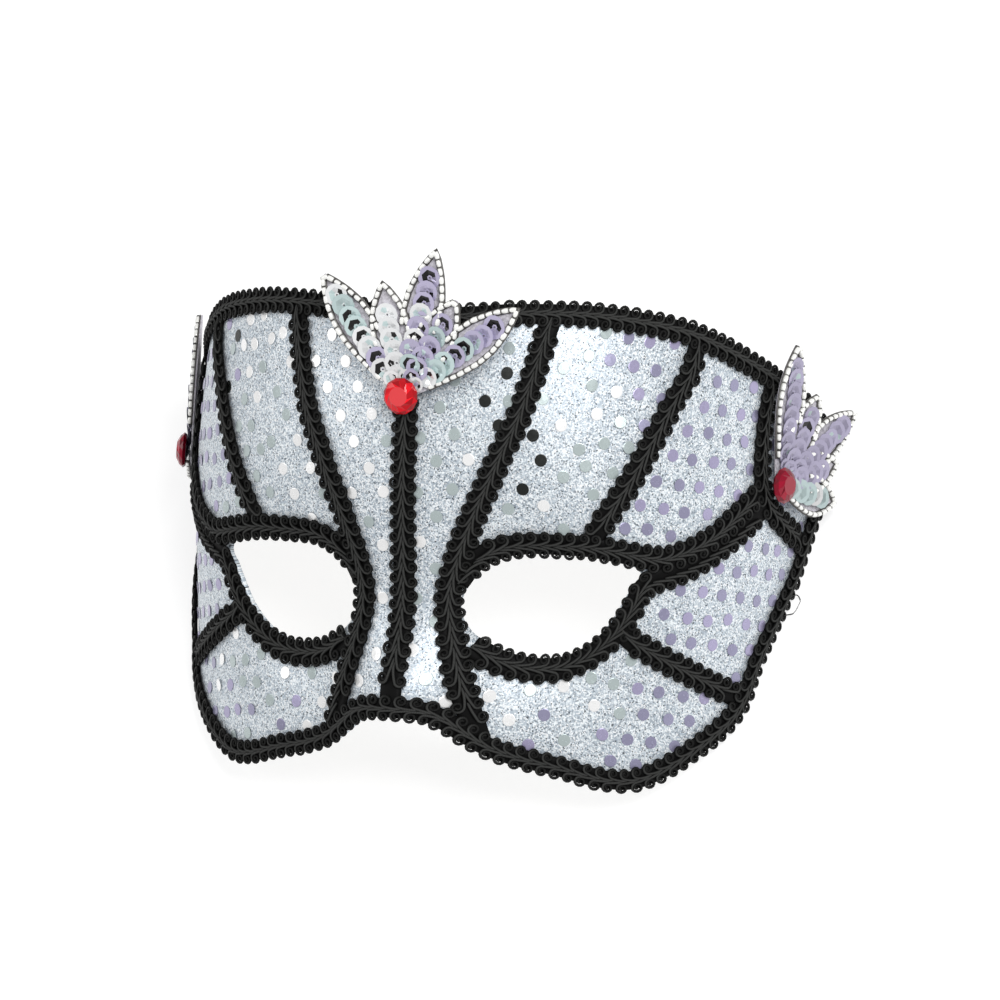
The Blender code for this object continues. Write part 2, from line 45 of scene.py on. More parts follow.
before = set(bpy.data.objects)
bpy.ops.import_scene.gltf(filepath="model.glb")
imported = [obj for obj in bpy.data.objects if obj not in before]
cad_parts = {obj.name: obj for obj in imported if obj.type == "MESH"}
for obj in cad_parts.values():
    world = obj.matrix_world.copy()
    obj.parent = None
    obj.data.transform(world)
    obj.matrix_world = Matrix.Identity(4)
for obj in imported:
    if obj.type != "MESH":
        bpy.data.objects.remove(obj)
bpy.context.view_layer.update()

# The mould, in metres
FACE_HALF_WIDTH = 0.0835
FACE_DEPTH = 0.076
SIDE_FLARE = math.radians(11)
FOREHEAD_LEAN = 0.0105
FOREHEAD_LEAN_START = 0.015
FOREHEAD_LEAN_POWER = 2.2
FOREHEAD_NARROWING = 0.055
CHEEK_TUCK = 0.001
CHEEK_WIDENING = 0.028
CHEEK_TUCK_START = -0.025
NOSE_RISE = 0.011
NOSE_HALF_WIDTH = 0.0162
NOSE_TIP_DROP = 0.024
NOSE_BRIDGE_LENGTH = 0.016
SOCKET_DEPTH = 0.009
SOCKET_ALONG = 0.032
SOCKET_HALF_LENGTH = 0.017
SOCKET_HALF_HEIGHT = 0.020

# The pattern
MASK_REACH = 0.137
CROWN_HEIGHT = 0.077
CHEEK_DROP = 0.0487
EYE_ALONG = 0.038
EYE_HALF_LENGTH = 0.0226
EYE_HALF_HEIGHT = 0.0125
SHELL_THICKNESS = 0.0014
BRAID_WIDTH = 0.0079
EDGE_BRAID_WIDTH = 0.0072
BRAID_THICKNESS = 0.0013
EDGE_OUTSET = 0.0010
EDGE_OVERLAP = 0.0015
EYE_OVERLAP = 0.0012
CLEARANCE = 0.0003

# The fans and their stones
FAN_LENGTH = 0.038
LEAF_WIDTH = 0.0108
LEAF_STAGGER = 0.00006
FAN_HUB_RADIUS = 0.0045
FAN_HUB_THICKNESS = 0.0014
CENTRE_FAN_FLARE = math.radians(8)
SIDE_FAN_FLARE = math.radians(2)
CENTRE_FAN_UP = 0.0537
SIDE_FAN_ALONG = 0.1055
SIDE_FAN_UP = 0.0257
CENTRE_FAN_TURN = math.radians(77)
SIDE_FAN_TURN = math.radians(21)
STONE_RADIUS = 0.00475
STONE_HEIGHT = 0.0025

# How the mask lies: tipped back about X, then moved
LYING_TILT = math.radians(50.98)
LYING_SHIFT = np.array([0.0, -0.029773, 0.05484])

# The photograph's view of the upright mask: angles, distance and the point in the middle of the picture
VIEW_AZIMUTH = math.radians(20.0)
VIEW_ELEVATION = math.radians(10.9)
VIEW_ROLL = math.radians(-0.42)
VIEW_DISTANCE = 1.5
VIEW_TARGET = np.array([0.0059, 0.0555, 0.0176])
VIEW_LENS = 205.2

# Light: the sky's strength, and the floor's own glow and half its width
SKY_STRENGTH = 0.48
FLOOR_GLOW = 0.71
FLOOR_REACH = 3.0

# Lamps. Columns: direction in the view (right, up, back), distance, size, power.
LAMPS = {
    "key_lamp": ((0.26, 0.37, 1.0), 0.9, 0.4, 5.2),
    "fill_lamp": ((-1.0, 0.25, 0.35), 1.0, 0.5, 2.0),
}

# Mesh spacing, its share round the eye holes, and the share kept free inside the cloth's borders
CLOTH_PITCH = 0.0024
EYE_FINENESS = 0.6
BORDER_ROOM = 0.6
ROUTE_PITCH = 0.0012
CURVE_STEPS = 12

# The cloth's pattern coordinates for each metre
PATTERN_SCALE = 10.0

# Outer edge of the edge braid, right half from the crown to below the nose.
# Columns: along as a share of MASK_REACH, up as a share of CROWN_HEIGHT or CHEEK_DROP.
EDGE = [
    (0.000, 0.984), (0.105, 0.990), (0.204, 1.000), (0.336, 0.991), (0.445, 0.961), (0.547, 0.916),
    (0.631, 0.855), (0.715, 0.783), (0.788, 0.718), (0.861, 0.649), (0.934, 0.578), (0.985, 0.500),
    (1.000, 0.400), (0.985, 0.292), (0.955, 0.195), (0.910, 0.090), (0.860, -0.040), (0.811, -0.170),
    (0.762, -0.318), (0.727, -0.440), (0.700, -0.570), (0.660, -0.690), (0.610, -0.778), (0.555, -0.855),
    (0.489, -0.940), (0.423, -0.992), (0.358, -0.975), (0.277, -0.900), (0.204, -0.842), (0.150, -0.778),
    (0.108, -0.690), (0.070, -0.600), (0.033, -0.560),
]

# Rim of the right eye opening, from its inner corner over the top.
# Columns: along and up from the opening's middle, as shares of its half length and half height.
EYE = [
    (-1.000, 0.000), (-0.940, 0.360), (-0.800, 0.710), (-0.575, 0.920), (-0.310, 0.980), (0.040, 0.960),
    (0.400, 0.920), (0.750, 0.790), (1.000, 0.610), (0.890, 0.380), (0.770, 0.080), (0.600, -0.340),
    (0.390, -0.680), (0.180, -0.900), (-0.040, -1.010), (-0.310, -1.000), (-0.575, -0.860), (-0.820, -0.580),
    (-0.950, -0.300),
]
EYE_TOP_ROWS = (1, 7)
EYE_LOWER_ROWS = (17, 10)

# Centre lines of the ribs on the right half, with the columns of EDGE.
CENTRE_LINE = [(0.000, 0.790), (0.000, 0.400), (0.000, 0.000), (0.000, -0.400), (0.000, -0.800)]
NOSE_LINE = [
    (0.277, 0.980), (0.263, 0.896), (0.250, 0.812), (0.228, 0.686), (0.207, 0.591), (0.184, 0.510),
    (0.158, 0.409), (0.138, 0.338), (0.120, 0.262), (0.098, 0.162), (0.084, 0.065), (0.082, 0.000),
    (0.088, -0.123), (0.098, -0.246), (0.111, -0.380), (0.125, -0.503), (0.138, -0.626), (0.152, -0.800),
]
BROW_LINE = [
    (0.588, 0.940), (0.574, 0.831), (0.558, 0.747), (0.531, 0.682), (0.500, 0.601), (0.456, 0.478),
    (0.419, 0.383), (0.387, 0.312), (0.361, 0.247), (0.340, 0.182),
]
TEMPLE_LINE = [
    (0.796, 0.780), (0.777, 0.662), (0.758, 0.571), (0.746, 0.481), (0.739, 0.390), (0.742, 0.318),
    (0.758, 0.257), (0.792, 0.201), (0.836, 0.147), (0.887, 0.090), (0.945, 0.032),
]
UPPER_EYE_TAIL = [
    (0.482, 0.147), (0.526, 0.156), (0.572, 0.178), (0.618, 0.213), (0.667, 0.264), (0.708, 0.303),
    (0.745, 0.331),
]
LOWER_EYE_TAIL = [
    (0.446, 0.042), (0.466, 0.070), (0.502, 0.086), (0.555, 0.112), (0.613, 0.156), (0.664, 0.199),
    (0.715, 0.244), (0.752, 0.273),
]
CHEEK_LINE = [
    (0.400, -0.110), (0.427, -0.190), (0.489, -0.300), (0.572, -0.435), (0.668, -0.585), (0.720, -0.670),
]

# Leaves of the forehead fan and of a temple fan.
# Columns: angle from the fan's middle leaf in degrees, length as a share of FAN_LENGTH.
FOREHEAD_LEAVES = [(50, 0.98), (25, 0.76), (0, 1.00), (-17, 0.75), (-40, 1.02)]
TEMPLE_LEAVES = [(50, 0.97), (25, 0.75), (0, 1.00), (-17, 0.68), (-40, 0.66)]

# Half width of a leaf along its length. Columns: share of the length, share of half of LEAF_WIDTH.
LEAF_OUTLINE = [
    (0.06, 0.30), (0.22, 0.58), (0.40, 0.86), (0.56, 1.00), (0.70, 0.94), (0.83, 0.68), (0.93, 0.36),
    (1.00, 0.09),
]

# Section across a braid's web. Columns: across as a share of the half width, rise as a share of the height.
WEB_SECTION = [(-1.0, 0.0), (0.0, 0.0), (1.0, 0.0), (1.0, 0.6), (0.5, 1.0), (-0.5, 1.0), (-1.0, 0.6)]
WEB_HEIGHT = 0.0005

# Spangles painted near black as a painted dark reflection. Columns: along and up in the pattern, metres.
DARK_REFLECTION_SPANGLES = np.array([
    (0.0215, 0.0533), (0.0307, 0.0308), (0.0251, 0.0471), (0.0337, 0.0443), (0.0266, 0.0600),
    (0.0363, 0.0385), (-0.0648, 0.0633), (-0.0664, 0.0492),
])

# Tints of the spangles, red green blue. The white one is a painted reflection of the lamps, the near black
# one a painted dark reflection.
SPANGLE_PAINTED_REFLECTION = (0.95, 0.95, 0.95)
SPANGLE_GREY = (0.46, 0.53, 0.53)
SPANGLE_LAVENDER = (0.38, 0.35, 0.52)
SPANGLE_VIOLET = (0.30, 0.29, 0.42)
SPANGLE_PAINTED_DARK_REFLECTION = (0.012, 0.014, 0.013)

# Painted highlight along the crests of the braid's cord, red green blue.
CORD_PAINTED_HIGHLIGHT = (0.055, 0.056, 0.054)

# Tints of the fans' sequins, red green blue; the near black one is a painted dark reflection.
SEQUIN_WHITE = (0.93, 0.94, 0.95)
SEQUIN_LAVENDER = (0.56, 0.52, 0.71)
SEQUIN_MINT = (0.62, 0.76, 0.76)
SEQUIN_PAINTED_DARK_REFLECTION = (0.015, 0.014, 0.014)
SIDE_FAN_SHADE = 0.68

# Shares of the stones' colour in the forehead's stone and in the deeper ones at the temples.
CLEAR_STONE = (1.0, 1.0, 1.0)
DEEP_STONE = (0.42, 0.3, 1.6)


class MaskTrims(bpy.types.PropertyGroup):
    """Sizes of the trims that a maker would change."""

    spangle_radius: FloatProperty(
        name="Spangle radius", description="Radius of the cloth's spangles", default=0.0016, unit="LENGTH")
    spangle_jitter: FloatProperty(
        name="Spangle tilt", description="How far a spangle tips", default=0.05, subtype="ANGLE")
    cord_radius: FloatProperty(
        name="Cord radius", description="Radius of the braid's gimp cord", default=0.00040, unit="LENGTH")
    curl_radius: FloatProperty(
        name="Curl radius", description="Radius of the braid's round curls", default=0.00134, unit="LENGTH")
    curl_pitch: FloatProperty(
        name="Curl pitch", description="Distance from one curl to the next", default=0.0034, unit="LENGTH")
    curl_turns: FloatProperty(
        name="Curl turns", description="Turns that the cord makes in each curl", default=1.55)
    bead_length: FloatProperty(
        name="Bead length", description="Length of a border bead", default=0.0021, unit="LENGTH")
    bead_radius: FloatProperty(
        name="Bead radius", description="Radius of a border bead", default=0.00066, unit="LENGTH")
    sequin_radius: FloatProperty(
        name="Sequin radius", description="Radius of the fans' cupped sequins", default=0.0031, unit="LENGTH")
    seed: IntProperty(name="Seed", description="Seed of the small irregularities", default=7, min=0)


class MaskColours(bpy.types.PropertyGroup):
    """Colours that a maker would change."""

    cloth: FloatVectorProperty(
        name="Cloth", description="Cloth's ground", default=(0.42, 0.49, 0.56), size=3, subtype="COLOR")
    braid: FloatVectorProperty(
        name="Braid", description="Gimp cord", default=(0.003, 0.003, 0.003), size=3, subtype="COLOR")
    bead: FloatVectorProperty(
        name="Bead", description="Fans' glass beads", default=(0.92, 0.92, 0.89), size=3, subtype="COLOR")
    stone: FloatVectorProperty(
        name="Stone", description="Cut stones", default=(0.66, 0.004, 0.012), size=3, subtype="COLOR")
    inside: FloatVectorProperty(
        name="Inside", description="Shell's inner face", default=(0.74, 0.73, 0.70), size=3, subtype="COLOR")
    floor: FloatVectorProperty(
        name="Floor", description="Studio floor", default=(0.40, 0.40, 0.40), size=3, subtype="COLOR")


# The mould

FLARE_TURN = math.atan(math.tan(math.pi / 2 - SIDE_FLARE) * FACE_HALF_WIDTH / FACE_DEPTH)
FRONT_TURNS = np.linspace(0.0, FLARE_TURN, 1200)
FRONT_SPEEDS = np.hypot(FACE_HALF_WIDTH * np.cos(FRONT_TURNS), FACE_DEPTH * np.sin(FRONT_TURNS))
FRONT_ARCS = np.concatenate([[0.0], np.cumsum((FRONT_SPEEDS[1:] + FRONT_SPEEDS[:-1]) * FRONT_TURNS[1] / 2)])


def swell(offset):
    """A smooth hump: e to the power of minus the offset squared."""
    return np.exp(-offset * offset)


def surface(along, up):
    """The cloth's face: an elliptic front with straight flared sides, moved along Y by the forehead's lean,
    the cheeks' tuck, the nose and the eye sockets."""
    reach = np.abs(along)
    turn = np.interp(reach, FRONT_ARCS, FRONT_TURNS)
    side = np.maximum(reach - FRONT_ARCS[-1], 0.0)
    lean = np.maximum(up - FOREHEAD_LEAN_START, 0.0) / (CROWN_HEIGHT - FOREHEAD_LEAN_START)
    x = np.sign(along) * (FACE_HALF_WIDTH * np.sin(turn) + side * math.sin(SIDE_FLARE))
    tuck = np.maximum(CHEEK_TUCK_START - up, 0.0) / (CHEEK_DROP + CHEEK_TUCK_START)
    x = x * (1.0 - FOREHEAD_NARROWING * lean + CHEEK_WIDENING * tuck)
    y = FACE_DEPTH * (1.0 - np.cos(turn)) + side * math.cos(SIDE_FLARE)
    bridge = np.maximum(up + NOSE_TIP_DROP, 0.0) / NOSE_BRIDGE_LENGTH
    nose = swell(along / NOSE_HALF_WIDTH) * swell(bridge)
    socket = swell((reach - SOCKET_ALONG) / SOCKET_HALF_LENGTH) * swell(up / SOCKET_HALF_HEIGHT)
    y = y + FOREHEAD_LEAN * lean ** FOREHEAD_LEAN_POWER + CHEEK_TUCK * tuck ** 2
    y = y - NOSE_RISE * nose + SOCKET_DEPTH * socket
    return np.stack([x, y, up], axis=-1)


def outward(along, up):
    """Unit normals of the cloth's face, from differences of nearby points."""
    near = 0.0001
    across = surface(along + near, up) - surface(along - near, up)
    upward = surface(along, up + near) - surface(along, up - near)
    normal = np.cross(across, upward)
    return normal / np.linalg.norm(normal, axis=-1, keepdims=True)


def lay(points):
    """Points of the upright mask where it lies: turned about X by minus the tilt, then moved."""
    cos, sin = math.cos(LYING_TILT), math.sin(LYING_TILT)
    turn = np.array([[1.0, 0.0, 0.0], [0.0, cos, sin], [0.0, -sin, cos]])
    return points @ turn.T + LYING_SHIFT


def press(flat):
    """Pattern points (along, up, rise) on the lying mask: the face's point plus rise times its normal."""
    along, up, rise = flat[..., 0], flat[..., 1], flat[..., 2:3]
    return lay(surface(along, up) + rise * outward(along, up))


# Curves in the pattern

def pattern_points(table):
    """Rows of shares of the mask's sizes as (along, up) in metres."""
    return np.array([(a * MASK_REACH, u * (CROWN_HEIGHT if u > 0 else CHEEK_DROP)) for a, u in table])


def eye_points():
    """The table of the eye opening as (along, up) in metres."""
    return np.array([(EYE_ALONG + a * EYE_HALF_LENGTH, u * EYE_HALF_HEIGHT) for a, u in EYE])


def smooth(points, closed=False):
    """A Catmull-Rom curve: between two points, the cubic whose slopes are half their neighbours' chord."""
    if closed:
        padded = np.concatenate([points[-1:], points, points[:2]])
    else:
        padded = np.concatenate([2 * points[:1] - points[1:2], points, 2 * points[-1:] - points[-2:-1]])
    t = (np.arange(CURVE_STEPS) / CURVE_STEPS)[:, None]
    runs = []
    for a, b, c, d in zip(padded, padded[1:], padded[2:], padded[3:]):
        square = 2 * a - 5 * b + 4 * c - d
        cube = 3 * b - a - 3 * c + d
        runs.append(b + (t * (c - a) + t ** 2 * square + t ** 3 * cube) / 2)
    if not closed:
        runs.append(padded[-2:-1])
    return np.concatenate(runs)


def evenly(curve, pitch, closed=False):
    """The curve again, with its points at an even spacing near the pitch."""
    if closed:
        curve = np.concatenate([curve, curve[:1]])
    arc = np.concatenate([[0.0], np.cumsum(np.linalg.norm(np.diff(curve, axis=0), axis=1))])
    stations = np.linspace(0.0, arc[-1], max(3, round(arc[-1] / pitch)) + 1)
    if closed:
        stations = stations[:-1]
    return np.stack([np.interp(stations, arc, curve[:, i]) for i in range(2)], axis=-1)


def left_of(curve, closed=False):
    """Unit vectors to the left of the curve's direction."""
    if closed:
        direction = np.roll(curve, -1, axis=0) - np.roll(curve, 1, axis=0)
    else:
        direction = np.gradient(curve, axis=0)
    direction = direction / np.linalg.norm(direction, axis=1, keepdims=True)
    return np.stack([-direction[:, 1], direction[:, 0]], axis=-1)


def beside(curve, distance, closed=False):
    """The curve moved sideways, to its left where the distance is positive."""
    return curve + distance * left_of(curve, closed)


def mirrored(points):
    """The same pattern points on the left half."""
    return points * np.array([-1.0, 1.0])


def edge_curve():
    """Outer edge of the edge braid, clockwise from the crown as the mask is seen from the front."""
    right = pattern_points(EDGE)
    left = mirrored(right[:0:-1])
    return smooth(np.concatenate([right, left]), closed=True)


def edge_braid_curve():
    """Centre line of the edge braid."""
    line = beside(edge_curve(), EDGE_OUTSET - EDGE_BRAID_WIDTH / 2, closed=True)
    return evenly(line, ROUTE_PITCH, closed=True)


def eye_braid_start(rows):
    """Points beside the eye opening that a braid follows, from the inner corner to the outer one."""
    first, last = rows
    step = 1 if last > first else -1
    return beside(eye_points(), BRAID_WIDTH / 2, closed=True)[first:last + step:step]


def rib_curves():
    """Centre lines of the right half's ribs, by node name without its side, the uppermost braid first."""
    upper_eye = np.concatenate([eye_braid_start(EYE_TOP_ROWS), pattern_points(UPPER_EYE_TAIL)])
    lower_eye = np.concatenate([eye_braid_start(EYE_LOWER_ROWS), pattern_points(LOWER_EYE_TAIL)])
    lines = {
        "nose_braid": pattern_points(NOSE_LINE),
        "temple_braid": pattern_points(TEMPLE_LINE),
        "upper_eye_braid": upper_eye,
        "lower_eye_braid": lower_eye,
        "brow_braid": pattern_points(BROW_LINE),
        "cheek_braid": pattern_points(CHEEK_LINE),
    }
    return {name: evenly(smooth(line), ROUTE_PITCH) for name, line in lines.items()}


def centre_curve():
    """Centre line of the braid down the forehead and the nose."""
    return evenly(smooth(pattern_points(CENTRE_LINE)), ROUTE_PITCH)


def inside(points, loop):
    """Which points lie inside a closed loop: those with an odd count of crossings to their right."""
    x, y = points[:, 0:1], points[:, 1:2]
    x0, y0 = loop[:, 0], loop[:, 1]
    x1, y1 = np.roll(x0, -1), np.roll(y0, -1)
    spans = (y0 > y) != (y1 > y)
    climb = np.where(y1 == y0, 1.0, y1 - y0)
    crossings = spans & (x < x0 + (y - y0) * (x1 - x0) / climb)
    return crossings.sum(axis=1) % 2 == 1


def nearest(points, curve):
    """Distance from each point to the curve's nearest point."""
    return np.linalg.norm(points[:, None] - curve[None], axis=2).min(axis=1)


# Meshes

def make_piece(name, points, blocks, materials, uv=None, tint=None, rounded=True):
    """An object from an array of points and arrays of faces, each array with one corner count. uv and tint
    hold a row for each face corner, in the order of the blocks."""
    corners = np.concatenate([block.ravel() for block in blocks]).astype(np.int32)
    counts = np.concatenate([np.full(len(block), block.shape[1]) for block in blocks])
    mesh = bpy.data.meshes.new(name)
    mesh.vertices.add(len(points))
    mesh.vertices.foreach_set("co", np.asarray(points, dtype=np.float32).ravel())
    mesh.loops.add(len(corners))
    mesh.loops.foreach_set("vertex_index", corners)
    mesh.polygons.add(len(counts))
    starts = np.concatenate([[0], np.cumsum(counts)[:-1]])
    mesh.polygons.foreach_set("loop_start", starts.astype(np.int32))
    mesh.polygons.foreach_set("use_smooth", np.full(len(counts), rounded))
    if uv is not None:
        mesh.uv_layers.new(name="pattern")
        mesh.uv_layers["pattern"].uv.foreach_set("vector", uv.astype(np.float32).ravel())
    if tint is not None:
        mesh.color_attributes.new(name="tint", type="FLOAT_COLOR", domain="CORNER")
        rgba = np.concatenate([tint, np.ones((len(tint), 1))], axis=1)
        mesh.color_attributes["tint"].data.foreach_set("color", rgba.astype(np.float32).ravel())
    mesh.update(calc_edges=True)
    for material in materials:
        mesh.materials.append(material)
    piece = bpy.data.objects.new(name, mesh)
    bpy.context.scene.collection.objects.link(piece)
    return piece


def fit(piece, slot, *nodes):
    """Put a finished piece on the mask's body, in place of these nodes. The slot is not used."""
    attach(piece, "root")
    if nodes:
        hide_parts(*nodes)
    return piece


def lattice_faces(copies, rows, columns, closed_rows=False):
    """Quads of many like grids whose columns close into rings: an array of (copy, row, column, 4)."""
    index = np.arange(copies * rows * columns).reshape(copies, rows, columns)
    ahead = np.roll(index, -1, axis=1) if closed_rows else index[:, 1:]
    here = index if closed_rows else index[:, :-1]
    return np.stack([here, np.roll(here, -1, axis=2), np.roll(ahead, -1, axis=2), ahead], axis=-1)


def ring_turns(count):
    """Angles of the points of a ring."""
    return np.arange(count) * 2 * math.pi / count


def bar_faces(rows, corners, closed=False, mark=0.0):
    """Faces of a section carried along rows, with ends unless it is closed, and one mark in their UV."""
    index = np.arange(rows * corners).reshape(rows, corners)
    blocks = [lattice_faces(1, rows, corners, closed)[..., ::-1]]
    if not closed:
        blocks += [index[:1], index[-1:, ::-1]]
    return [(block, np.full(block.shape + (2,), mark), None) for block in blocks]


def tube_rings(paths, radius, sides):
    """Rings round many paths (copy, station, 3): centre + radius (cos turn side + sin turn top), with the
    side level in the pattern and the top across side and path."""
    along = np.gradient(paths, axis=1)
    along /= np.linalg.norm(along, axis=2, keepdims=True)
    side = np.cross(along, np.array([0.0, 0.0, 1.0]))
    side /= np.linalg.norm(side, axis=2, keepdims=True)
    top = np.cross(side, along)
    turns = ring_turns(sides)[:, None]
    return paths[:, :, None] + radius * (np.cos(turns) * side[:, :, None] + np.sin(turns) * top[:, :, None])


def tube_uv(paths, sides):
    """Corner coordinates for the quads of tubes: length along the path in millimetres, share of the turn."""
    steps = np.linalg.norm(np.diff(paths, axis=1), axis=2) * 1000.0
    arc = np.concatenate([np.zeros((len(paths), 1)), np.cumsum(steps, axis=1)], axis=1)
    near, far = arc[:, :-1, None], arc[:, 1:, None]
    turn = (np.arange(sides) / sides)[None, None, :]
    later = turn + 1.0 / sides
    shape = (len(paths), paths.shape[1] - 1, sides)
    corners = [(near, turn), (near, later), (far, later), (far, turn)]
    pairs = [np.stack([np.broadcast_to(a, shape), np.broadcast_to(t, shape)], axis=-1) for a, t in corners]
    return np.stack(pairs, axis=3)


def join_blocks(parts):
    """One set of points and face blocks from several: each a tuple of points, list of (faces, uv, tint)."""
    points, blocks, uvs, tints = [], [], [], []
    start = 0
    for cloud, faces in parts:
        flat = cloud.reshape(-1, 3)
        points.append(flat)
        for block, uv, tint in faces:
            width = block.shape[-1]
            block = block.reshape(-1, width)
            blocks.append(block + start)
            uvs.append(np.zeros((block.size, 2)) if uv is None else uv.reshape(-1, 2))
            tints.append(np.zeros((block.size, 3)) if tint is None else tint.reshape(-1, 3))
        start += len(flat)
    return np.concatenate(points), blocks, np.concatenate(uvs), np.concatenate(tints)


# Shaders

class Value:
    """A shader socket in an expression. Each operator adds a Math node."""

    def __init__(self, shader, socket):
        self.shader = shader
        self.socket = socket

    def math(self, operation, *others):
        return self.shader.node("ShaderNodeMath", {"operation": operation}, dict(enumerate((self,) + others)))

    def __add__(self, other):
        return self.math("ADD", other)

    def __mul__(self, other):
        return self.math("MULTIPLY", other)

    def __rsub__(self, other):
        return self.shader.node("ShaderNodeMath", {"operation": "SUBTRACT"}, {0: other, 1: self})

    def __gt__(self, other):
        return self.math("GREATER_THAN", other)

    __radd__ = __add__
    __rmul__ = __mul__


class Shader:
    """A material whose Principled BSDF is filled by expressions."""

    def __init__(self, name):
        self.material = bpy.data.materials.new(name)
        self.material.use_nodes = True
        self.tree = self.material.node_tree
        self.surface = self.tree.nodes["Principled BSDF"]

    def connect(self, socket, value):
        """Link a value to a socket, or set the socket's own number or colour."""
        if isinstance(value, Value):
            self.tree.links.new(value.socket, socket)
        elif isinstance(value, (tuple, list)) and len(value) == 3 and len(socket.default_value) == 4:
            socket.default_value = (*value, 1.0)
        else:
            socket.default_value = value

    def node(self, kind, settings=None, sockets=None, output=0):
        """Any node: its settings first, then the values or links of its sockets."""
        node = self.tree.nodes.new(kind)
        for key, value in (settings or {}).items():
            setattr(node, key, value)
        for key, value in (sockets or {}).items():
            self.connect(node.inputs[key], value)
        return Value(self, node.outputs[output])

    def fill(self, **sockets):
        """Set the surface's sockets, with _ for a space in their names."""
        for key, value in sockets.items():
            self.connect(self.surface.inputs[key.replace("_", " ")], value)

    def mix(self, share, first, second):
        """A colour that goes from the first to the second."""
        return self.node("ShaderNodeMix", {"data_type": "RGBA"}, {0: share, 6: first, 7: second}, output=2)

    def between(self, value, low, high):
        """A smooth 0 to 1 as the value goes from low to high."""
        settings = {"interpolation_type": "SMOOTHSTEP"}
        return self.node("ShaderNodeMapRange", settings, {"Value": value, "From Min": low, "From Max": high})

    def uv(self):
        """The piece's own pattern coordinates."""
        return self.node("ShaderNodeUVMap", {"uv_map": "pattern"})

    def place(self):
        """Coordinates on the object."""
        return self.node("ShaderNodeTexCoord", output=3)

    def tint(self):
        """The colour that the piece's faces hold."""
        return self.node("ShaderNodeVertexColor", {"layer_name": "tint"})

    def part(self, vector, axis):
        """One of a vector's numbers, 0 to 2."""
        return self.node("ShaderNodeSeparateXYZ", None, {0: vector}, output=axis)

    def noise(self, vector, scale, detail=2.0):
        """Noise from 0 to 1."""
        return self.node("ShaderNodeTexNoise", None, {"Vector": vector, "Scale": scale, "Detail": detail})

    def cells(self, vector, scale):
        """The random colours of a pattern of cells."""
        return self.node("ShaderNodeTexVoronoi", None, {"Vector": vector, "Scale": scale}, output=1)

    def bump(self, height, distance, strength):
        """A bumped normal."""
        sockets = {"Height": height, "Distance": distance, "Strength": strength}
        return self.node("ShaderNodeBump", None, sockets)


def cloth_look(colours):
    """Glitter cloth: small flakes, most pale blue-grey, some white and some dark, each tipped its own way,
    with white painted glints as painted highlights.
    """
    shader = Shader("silver glitter cloth")
    uv = shader.uv()
    flakes = shader.cells(uv, 270.0)
    chance = shader.part(flakes, 0)
    second = shader.part(flakes, 1)
    drift = shader.between(shader.noise(uv, 9.0), 0.3, 0.7)
    clumps = shader.between(shader.noise(uv, 75.0, 1.0), 0.30, 0.70)
    ground = shader.mix(clumps * 0.4 + drift * 0.2, tuple(colours.cloth), (0.60, 0.67, 0.73))
    ground = shader.mix(shader.between(chance, 0.25, 0.90), ground, (0.88, 0.93, 0.96))
    ground = shader.mix(shader.between(second, 0.76, 0.95) * 0.8, ground, (0.20, 0.24, 0.29))
    specks = shader.cells(uv, 340.0)
    speck = shader.part(specks, 0) > 0.94
    painted_glint = shader.part(specks, 1) > 0.88
    ground = shader.mix(speck * 0.9, ground, (0.03, 0.04, 0.05))
    # painted highlight: a few white specks are painted into the cloth's colour as glints
    ground = shader.mix(painted_glint * 0.9, ground, (0.98, 0.99, 1.0))
    relief = shader.bump(chance, 0.00022, 0.9)
    shader.fill(Base_Color=ground, Metallic=0.15 + 0.3 * second)
    shader.fill(Roughness=0.32 + 0.30 * chance, Normal=relief)
    return shader.material


def inside_look(colours):
    """The bare inner face of the moulded shell: matt, faintly mottled and brushed."""
    shader = Shader("moulded shell inside")
    uv = shader.uv()
    mottle = shader.noise(uv, 30.0, 6.0)
    tone = tuple(colours.inside)
    ground = shader.mix(shader.between(mottle, 0.3, 0.7), tone, tuple(0.88 * part for part in tone))
    grain = shader.noise(uv, 420.0, 3.0)
    shader.fill(Base_Color=ground, Roughness=0.55 + 0.2 * mottle, Normal=shader.bump(grain, 0.00015, 0.6))
    return shader.material


def spangle_look():
    """Flat foil spangles, each with the tint it holds, some of them painted reflections."""
    shader = Shader("foil spangles")
    scuff = shader.noise(shader.place(), 900.0, 3.0)
    relief = shader.bump(scuff, 0.00005, 0.4)
    shader.fill(Base_Color=shader.tint(), Metallic=0.35, Roughness=0.16 + 0.2 * scuff, Normal=relief)
    return shader.material


def gimp_look(colours):
    """Rayon gimp cord: thread wound round a core in fine slanting turns, each painted a little lighter as a
    painted highlight, with a painted highlight along the cord's top.
    """
    shader = Shader("black gimp cord")
    uv = shader.uv()
    along = shader.part(uv, 0)
    turn = shader.part(uv, 1)
    thread = (along * (2 * math.pi / 0.34) + turn * (4 * math.pi)).math("SINE") * 0.5 + 0.5
    fuzz = shader.noise(shader.place(), 700.0, 3.0)
    black = tuple(colours.braid)
    # painted highlight: each slanting thread turn is painted a little lighter
    ground = shader.mix(thread * 0.8, black, tuple(2.2 * part + 0.002 for part in black))
    # painted highlight: the top of the cord is painted lighter along its tails, fading in its curls
    top = shader.between((turn * (2 * math.pi)).math("SINE"), 0.45, 1.0)
    painted_crest_highlight = top * (1.0 - 0.75 * shader.between(along, 6.0, 9.0)) * (0.55 + 0.45 * thread)
    ground = shader.mix(painted_crest_highlight, ground, CORD_PAINTED_HIGHLIGHT)
    relief = shader.bump(thread * 0.7 + fuzz * 0.3, 0.00009, 0.8)
    shader.fill(Base_Color=ground, Roughness=0.40 + 0.22 * fuzz, Normal=relief, Specular_IOR_Level=0.06)
    return shader.material


